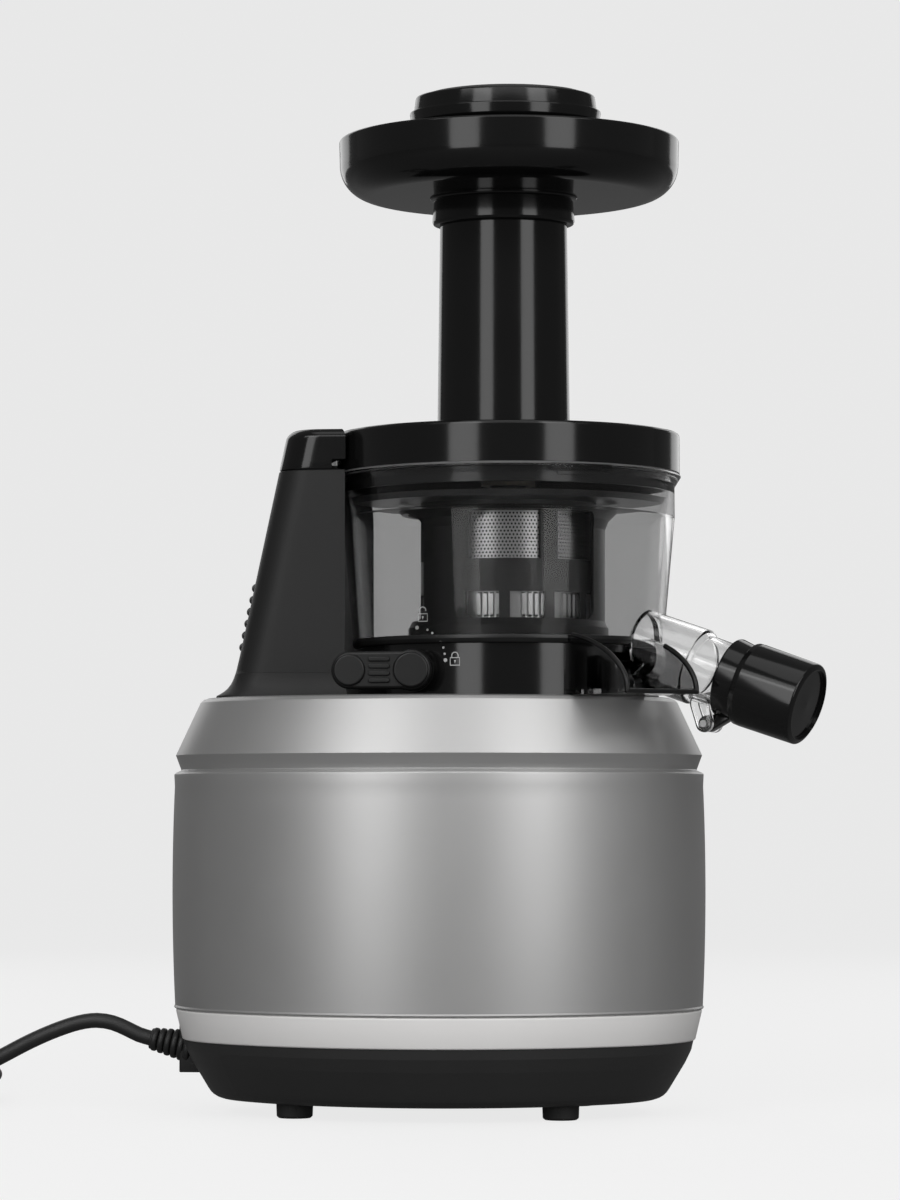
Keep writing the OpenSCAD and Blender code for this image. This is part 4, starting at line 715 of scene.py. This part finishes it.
def make_bowl():
    outline = rounded([(66.2, 200.05), (66.9, 253, 5.0), (73.0, 264.6, 3.0), (73.1, 270.0, 0.5),
                       (70.6, 270.0, 0.4), (70.5, 265.6, 2.5), (64.3, 254, 4.0), (63.7, 200.05)], 5)
    bowl = piece("clear_bowl", *turned(outline, segs=200), "smoke_clear", replaces=("drum_bowl",), sharp=30)
    corners = ((12.5, -7), (30.5, -7), (30.5, 7), (12.5, 7))
    slot = [chute_place((x, y, z)) for z in (196, 201) for x, y in corners]
    block = (slot, [(0, 1, 2, 3), (4, 7, 6, 5), (0, 4, 5, 1), (1, 5, 6, 2), (2, 6, 7, 3), (3, 7, 4, 0)])
    bore = spout_turned([(14.0, -6), (14.0, 24)], closed=False, caps=True)
    cut(bowl, bore)
    outline = rounded([(12.3, 197.0), (65.6, 197.0, 0.6), (66.2, 198.6, 0.6), (66.2, 200.0),
                       (63.4, 200.0), (62.6, 200.4), (61.8, 200.0), (12.3, 200.0)], 4)
    floor = piece("bowl_floor", *turned(outline, segs=200), "satin_black", replaces=("drum_bowl",), sharp=30)
    cut(floor, bore, block)
    lugs = [sector_plate(67.2, 72.9, 268.2, 269.9, 49 + 120 * i, 22) for i in range(3)]
    piece("bowl_lugs", *joined(*lugs), "smoke_clear", replaces=("drum_bowl",))


make_bowl()


# ---------------------------------------------------------------- feed tube, tray and pusher
TUBE_A, TUBE_C, TUBE_X = 28.2, 10.6124, 28.0
COLLAR_A = 29.9
TRAY_X, TRAY_R, TRAY_Z, TRAY_TOP = 30.4, 72.5, 389.8, 414.0
TRAY_FLAT, TRAY_BEND, TRAY_WALL = 59.0, 13.5, 2.5
PUSH_X, PUSH_A, PUSH_C, PUSH_TOP = 28.8, 40.1, 13.6222, 435.0


def make_feed():
    outline = rounded([(24.8, 285.0), (28.6, 285.0), (28.6, 288.1), (29.3, 288.1, 0.3), (28.2, 289.6, 1.1),
                       (27.15, 381.3), (27.1, 392.25), (24.8, 392.25)], 5)
    piece("feed_tube_wall", *oval(outline, TUBE_A, TUBE_C, x=TUBE_X, steps=28), "gloss_black", body="lid",
          replaces=("feed_tube",))
    outline = [(0.02, TRAY_Z), (TRAY_FLAT, TRAY_Z)]
    outline += arc(TRAY_FLAT, TRAY_Z + TRAY_BEND, TRAY_BEND, -87, 0, 20)
    outline += [(TRAY_R + 0.25, TRAY_TOP - 1.4)] + arc(TRAY_R - 0.75, TRAY_TOP - 1.0, 1.0, 0, 90, 6)
    outline += arc(TRAY_R - 1.6, TRAY_TOP - 0.8, 0.8, 90, 180, 5)
    outline += arc(TRAY_FLAT, TRAY_Z + 13.6, 11.1, 0, -87, 20) + [(0.02, TRAY_Z + TRAY_WALL)]
    tray = piece("hopper_dish", *turned(outline, x=TRAY_X, segs=200), "gloss_black", body="lid",
                 replaces=("hopper_tray",))
    hole = [(27.0, TRAY_Z - 5), (27.0, TRAY_Z + 8)]
    cut(tray, oval(hole, TUBE_A, TUBE_C, x=TUBE_X, closed=False, caps=True))
    outline = rounded([(27.25, 378.5), (29.6, 378.5, 0.5), (29.9, 379.6, 0.4), (29.9, 388.4),
                       (32.0, 390.1, 1.5), (27.25, 390.1)], 4)
    piece("tray_collar", *oval(outline, COLLAR_A, TUBE_C * COLLAR_A / TUBE_A, x=TUBE_X, steps=28),
          "gloss_black", body="lid", replaces=("hopper_tray",))


def make_pusher():
    base, top = 392.6, PUSH_TOP
    outline = rounded([(30.2, base), (34.8, base, 0.6), (36.5, top - 16.0, 0.8), (40.3, top - 13.0, 0.9),
                       (40.4, top - 8.9, 0.4), (40.1, top - 8.5, 0.2), (40.1, top, 2.6), (31.4, top, 0.8),
                       (30.2, top - 1.2, 0.4)], 6)
    piece("pusher_grip", *oval(outline, PUSH_A, PUSH_C, x=PUSH_X, steps=28), "gloss_black", body="pusher",
          replaces=("pusher_cap",))
    outline = rounded([(0.01, top - 2.6), (30.4, top - 2.6), (31.0, top - 0.9, 0.6), (27.5, top - 0.5, 2.0),
                       (0.01, top - 0.3)], 5)
    piece("pusher_lid", *oval(outline, PUSH_A, PUSH_C, x=PUSH_X, steps=28), "satin_black", body="pusher",
          replaces=("pusher_cap",))
    outline = rounded([(0.01, 292.0), (23.2, 292.0, 1.2), (24.2, 294.0, 0.6), (24.2, 393.0),
                       (0.01, 393.0)], 5)
    piece("pusher_plunger", *oval(outline, TUBE_A, TUBE_C, x=TUBE_X, steps=24), "satin_black", body="pusher",
          replaces=("pusher_rod",))


make_feed()
make_pusher()


# ---------------------------------------------------------------- spout, its cap, chute and lever
def spout_place(s, up, across=0.0):
    """A point along the spout's axis, above it and across it, as one of the machine frame."""
    origin, along, rise, side = spout_axes()
    return tuple(origin + along * s + rise * up + side * across)


def slab(outline, place, t0, t1, edge=0.5, steps=4):
    """A plate with rounded edges: outline points [u, v], set by place(u, v, t)."""
    n = len(outline)
    mid = Vector((sum(p[0] for p in outline) / n, sum(p[1] for p in outline) / n))
    rings = []
    turns = [rad(90 * k / steps) for k in range(steps + 1)]
    levels = [(edge * (1 - sin(a)), t0 + edge * (1 - cos(a))) for a in turns]
    levels += [(edge * (1 - cos(a)), t1 - edge * (1 - sin(a))) for a in turns]
    for inset, t in levels:
        ring = []
        for k, p in enumerate(outline):
            a, b = Vector(outline[k - 1]), Vector(outline[(k + 1) % n])
            normal = Vector(((b - a).y, -(b - a).x)).normalized()
            if normal.dot(Vector(p) - mid) < 0 and n < 9:
                normal = -normal
            q = Vector(p) - normal * inset
            ring.append(place(q.x, q.y, t))
        rings.append(ring)
    return skin(rings, closed_profile=False, caps=True)


def capsule(p, q, rp, rq, steps=14):
    """The outline round two circles, anticlockwise."""
    d = Vector(q) - Vector(p)
    a = math.atan2(d.y, d.x)
    lean = math.asin(max(-1, min(1, (rp - rq) / d.length)))
    out = []
    for centre, r, start, sweep in ((q, rq, a - pi / 2 + lean, pi - 2 * lean),
                                    (p, rp, a + pi / 2 - lean, pi + 2 * lean)):
        for t in [start + sweep * k / steps for k in range(steps + 1)]:
            out.append((centre[0] + r * cos(t), centre[1] + r * sin(t)))
    return out


def make_spout():
    outline = rounded([(14.0, 0), (16.0, 0), (16.0, 30.0, 0.9), (14.4, 32.2, 0.7), (14.4, 46.0, 1.5),
                       (13.25, 51.4, 0.4), (12.4, 51.4, 0.3), (12.4, 32.0, 0.7), (14.0, 29.8, 0.8)], 4)
    spout = piece("clear_spout", *spout_turned(outline, segs=120), "clear_plastic", replaces=("juice_spout",))
    cut(spout, turned([(0.01, 190), (66.0, 190), (66.9, 253), (66.9, 262), (0.01, 262)], segs=160))
    ear = capsule((42, -21), (37.5, -13.5), 3.6, 4.4)
    ears = [slab(ear, spout_place, s, s + 3, 0.5) for s in (-6.4, 3.4)]
    piece("hinge_ears", *joined(*ears), "clear_plastic", replaces=("juice_spout",), sharp=40)
    outline = rounded([(14.8, 44.9, 0.3), (16.4, 44.9, 0.5), (16.4, 53.2, 0.4), (16.9, 53.7, 0.3),
                       (17.5, 55.4, 0.8), (17.5, 81.4, 3.4), (15.2, 81.4, 0.5), (14.4, 81.0, 0.4),
                       (0.01, 81.0), (0.01, 78.5), (11.8, 78.5, 1.0), (11.8, 53.8), (14.8, 53.8)], 6)
    piece("outlet_cap", *spout_turned(outline, segs=140), "gloss_black", body="spout_cap",
          replaces=("spout_cap",), sharp=38)
    arm = slab(capsule((42, -21), (49.5, -15.4), 3.4, 1.7), spout_place, -3, 3, 0.6)
    piece("cap_arm", *arm, "gloss_black", body="spout_cap", replaces=("spout_cap",), sharp=40)


CHUTE_Z, CHUTE_REACH, CHUTE_Y = 177.0, 100.0, 18.6


def chute_top(x):
    """The height of the chute's side wall, which falls in an arc to its tip."""
    t = max(x - SKIRT_R, 0) / (CHUTE_REACH - SKIRT_R)
    return CHUTE_Z + 23.0 * (0.78 * math.sqrt(max(0, 1 - t * t)) + 0.22 * (1 - t))


def make_chute_rims():
    origin, along, rise, side = spout_axes()
    for name, y in (("chute_rim_near", -CHUTE_Y), ("chute_rim_far", CHUTE_Y)):
        line = []
        for i in range(41):
            x = SKIRT_R + (CHUTE_REACH - SKIRT_R) * sin(rad(90 * i / 40))
            p = chute_place((x, y, chute_top(x)))
            gap = Vector(p) - origin
            off = (gap - along * gap.dot(along)).length
            if off > 17.8 and math.hypot(p[0] - DRUM_X, p[1]) > 67.4:
                line.append(p)
        line.append(chute_place((CHUTE_REACH, y, 175.9)))
        piece(name, *tube(line, 1.0, sides=16), "satin_black", sharp=60)
    lip = [chute_place((CHUTE_REACH, y, 176.2)) for y in (-19.2, -9.6, 0, 9.6, 19.2)]
    piece("chute_lip", *tube(lip, 1.0, sides=16), "satin_black", sharp=60)


LEVER_X, LEVER_Z = -4.5, 185.5


def make_lever():
    def place(u, v, t):
        return (LEVER_X + u, t, LEVER_Z + v)

    outline = arc(0, 0, 8.5, -112, 112, 40) + arc(-25.2, -0.1, 7.8, 96, 264, 28)
    handle = slab(outline, place, -66.5, -61.5, 1.3)
    hub = slab(arc(0, 0, 8.1, 0, 352, 44), place, -61.6, -59.3, 0.4)
    ribs = [slab(capsule((-16.5, z), (-9.5, z), 1.0, 1.0), place, -67.5, -66.2, 0.5)
            for z in (-4.4, -1.5, 1.5, 4.4)]
    pads = joined(slab(arc(0.2, 0, 7.4, 0, 352, 44), place, -67.4, -66.2, 0.9),
                  slab(arc(-25.4, -0.1, 6.6, 0, 352, 44), place, -67.6, -66.2, 0.9))
    piece("lever_handle", *joined(handle, hub, pads, *ribs), "satin_black", body="lever",
          replaces=("pulp_lever",), sharp=36)


make_spout()
make_chute_rims()
make_lever()


# ---------------------------------------------------------------- screen inside the brush
def perforated(r_out, r_in, z0, rows, columns, pitch_z, hole):
    """A thin ring pierced by rows of round holes, every second row half a hole on."""
    verts, faces = [], []
    step = 360 / columns
    for i in range(rows):
        z = z0 + pitch_z * i
        for j in range(columns):
            mid = (j + 0.5 * (i % 2)) * step
            base = len(verts)
            for r in (r_out, r_in):
                for k in range(8):
                    a = rad(45 * k)
                    reach = 1 / max(abs(cos(a)), abs(sin(a)))
                    for size_a, size_z in ((step / 2 * cos(a) * reach, pitch_z / 2 * sin(a) * reach),
                                           (math.degrees(hole / r_out) * cos(a), hole * sin(a))):
                        t = rad(mid + size_a)
                        verts.append((DRUM_X + r * cos(t), r * sin(t), z + size_z))
            for k in range(8):
                n = (k + 1) % 8
                faces.append((base + 2 * k, base + 2 * n, base + 2 * n + 1, base + 2 * k + 1))
                faces.append((base + 16 + 2 * n, base + 16 + 2 * k, base + 17 + 2 * k, base + 17 + 2 * n))
                faces.append((base + 2 * k + 1, base + 2 * n + 1, base + 17 + 2 * n, base + 17 + 2 * k))
    return verts, faces


SCREEN_R = 34.95


def make_screen():
    upper = perforated(SCREEN_R, 34.65, 232.8, 15, 144, 1.5, 0.46)
    low, top = [turned(rounded([(34.6, z0), (SCREEN_R, z0), (SCREEN_R, z1), (34.6, z1)]), segs=144)
                for z0, z1 in ((207.0, 232.05), (254.55, 255.0))]
    bar = rounded([(34.9, 208.8), (35.0, 208.8), (35.75, 209.8, 0.3), (35.75, 218.2, 0.3), (35.0, 219.2),
                   (34.9, 219.2)], 3)
    bars = [turned(bar, start=-50.3 + 30 * k + 3.7 + j * 4.3 + 0.8, sweep=2.4, segs=3)
            for k in range(12) for j in range(5)]
    piece("pierced_screen", *joined(upper, low, top), "steel_mesh", replaces=("screen_mesh",), sharp=40)
    piece("screen_bars", *joined(*bars), "steel_mesh", replaces=("screen_mesh",), sharp=40)


# ---------------------------------------------------------------- printed marks
# Where the photo shows them, in its pixels
UNLOCK_PX, LOCK_PX = (423, 617.5), (455, 661.5)
BIG_DOT_PX = [(417, 627.5), (445.5, 660)]
SMALL_DOT_PX = [(427.4, 629.8), (432.4, 632.9), (436.7, 636.9), (440.5, 641.9), (443.3, 647.6),
                (444.8, 653.8)]


def drum_radius(z):
    """The outside of the skirt, and of the bowl above it, at a height."""
    return SKIRT_R if z < BOWL_Z else BOWL_R + BOWL_FLARE * (z - BOWL_Z) / BOWL_NECK


def seen_on_drum(px, py):
    """The [x, z] on the drum's near side that the camera sees at a place of its picture."""
    view, right, up = camera_axes()
    dx, dy = (px - IMAGE_PX[0] / 2) / FOCAL_PX, (IMAGE_PX[1] / 2 - py) / FOCAL_PX
    d = [view[i] + dx * right[i] + dy * up[i] for i in range(3)]
    ox, oy, z = CAMERA_AT[0] - DRUM_X, CAMERA_AT[1], BOWL_Z
    a, b = d[0] ** 2 + d[1] ** 2, 2 * (ox * d[0] + oy * d[1])
    for _ in range(6):
        c = ox * ox + oy * oy - drum_radius(z) ** 2
        reach = (-b - math.sqrt(b * b - 4 * a * c)) / (2 * a)
        z = CAMERA_AT[2] + reach * d[2]
    return round(CAMERA_AT[0] + reach * d[0], 1), round(z, 1)


def on_drum(x, z, proud=0.06):
    """The front of the skirt or bowl at a place seen from the front."""
    r = drum_radius(z) + proud
    return (x, -math.sqrt(r * r - (x - DRUM_X) ** 2), z)


def mark_line(points, thick=0.34, loop=False):
    """A thin printed line through [x, z] points."""
    pts = [on_drum(x, z) for x, z in (points + points[:1] if loop else points)]
    rings = []
    for i, p in enumerate(pts):
        a, b = Vector(pts[max(i - 1, 0)]), Vector(pts[min(i + 1, len(pts) - 1)])
        out = Vector((p[0] - DRUM_X, p[1], 0)).normalized()
        side = (b - a).normalized().cross(out) * thick / 2
        q, lift = Vector(p), out * 0.05
        rings.append([tuple(q + side), tuple(q + side + lift), tuple(q - side + lift), tuple(q - side)])
    return skin(rings, closed_profile=False, caps=True)


def mark_dot(x, z, r):
    turns = [2 * pi * k / 20 for k in range(20)]
    rings = [[on_drum(x + r * share * cos(a), z + r * share * sin(a), proud) for a in turns]
             for share, proud in ((1.0, 0.05), (0.98, 0.12))]
    return skin(rings, closed_profile=False, caps=True)


def padlock(x, z, is_open):
    """A small padlock: its case, its shackle, shut or lifted on one side, and its keyhole."""
    w, h, r, lift = 2.0, 1.55, 1.35, 0.55 if is_open else 0.0
    body = mark_line([(x - w, z - h), (x + w, z - h), (x + w, z + h), (x - w, z + h)], 0.42, loop=True)
    shackle = [(x - r, z + h), (x - r, z + h + 0.9 + lift)]
    for a in [pi * k / 12 for k in range(1, 13)]:
        shackle.append((x - r * cos(a), z + h + 0.9 + lift + r * sin(a)))
    shackle.append((x + r, z + h + (0.55 + lift if is_open else 0.0)))
    keyhole = [mark_dot(x, z + 0.2, 0.42), mark_line([(x, z + 0.1), (x, z - 0.75)], 0.34)]
    return [body, mark_line(shackle, 0.42)] + keyhole


def make_marks():
    parts = padlock(*seen_on_drum(*UNLOCK_PX), True) + padlock(*seen_on_drum(*LOCK_PX), False)
    parts += [mark_dot(*seen_on_drum(*at), 0.8) for at in BIG_DOT_PX]
    parts += [mark_dot(*seen_on_drum(*at), 0.48) for at in SMALL_DOT_PX]
    piece("lock_marks", *joined(*parts), "marking_grey", sharp=60)


make_screen()
make_marks()
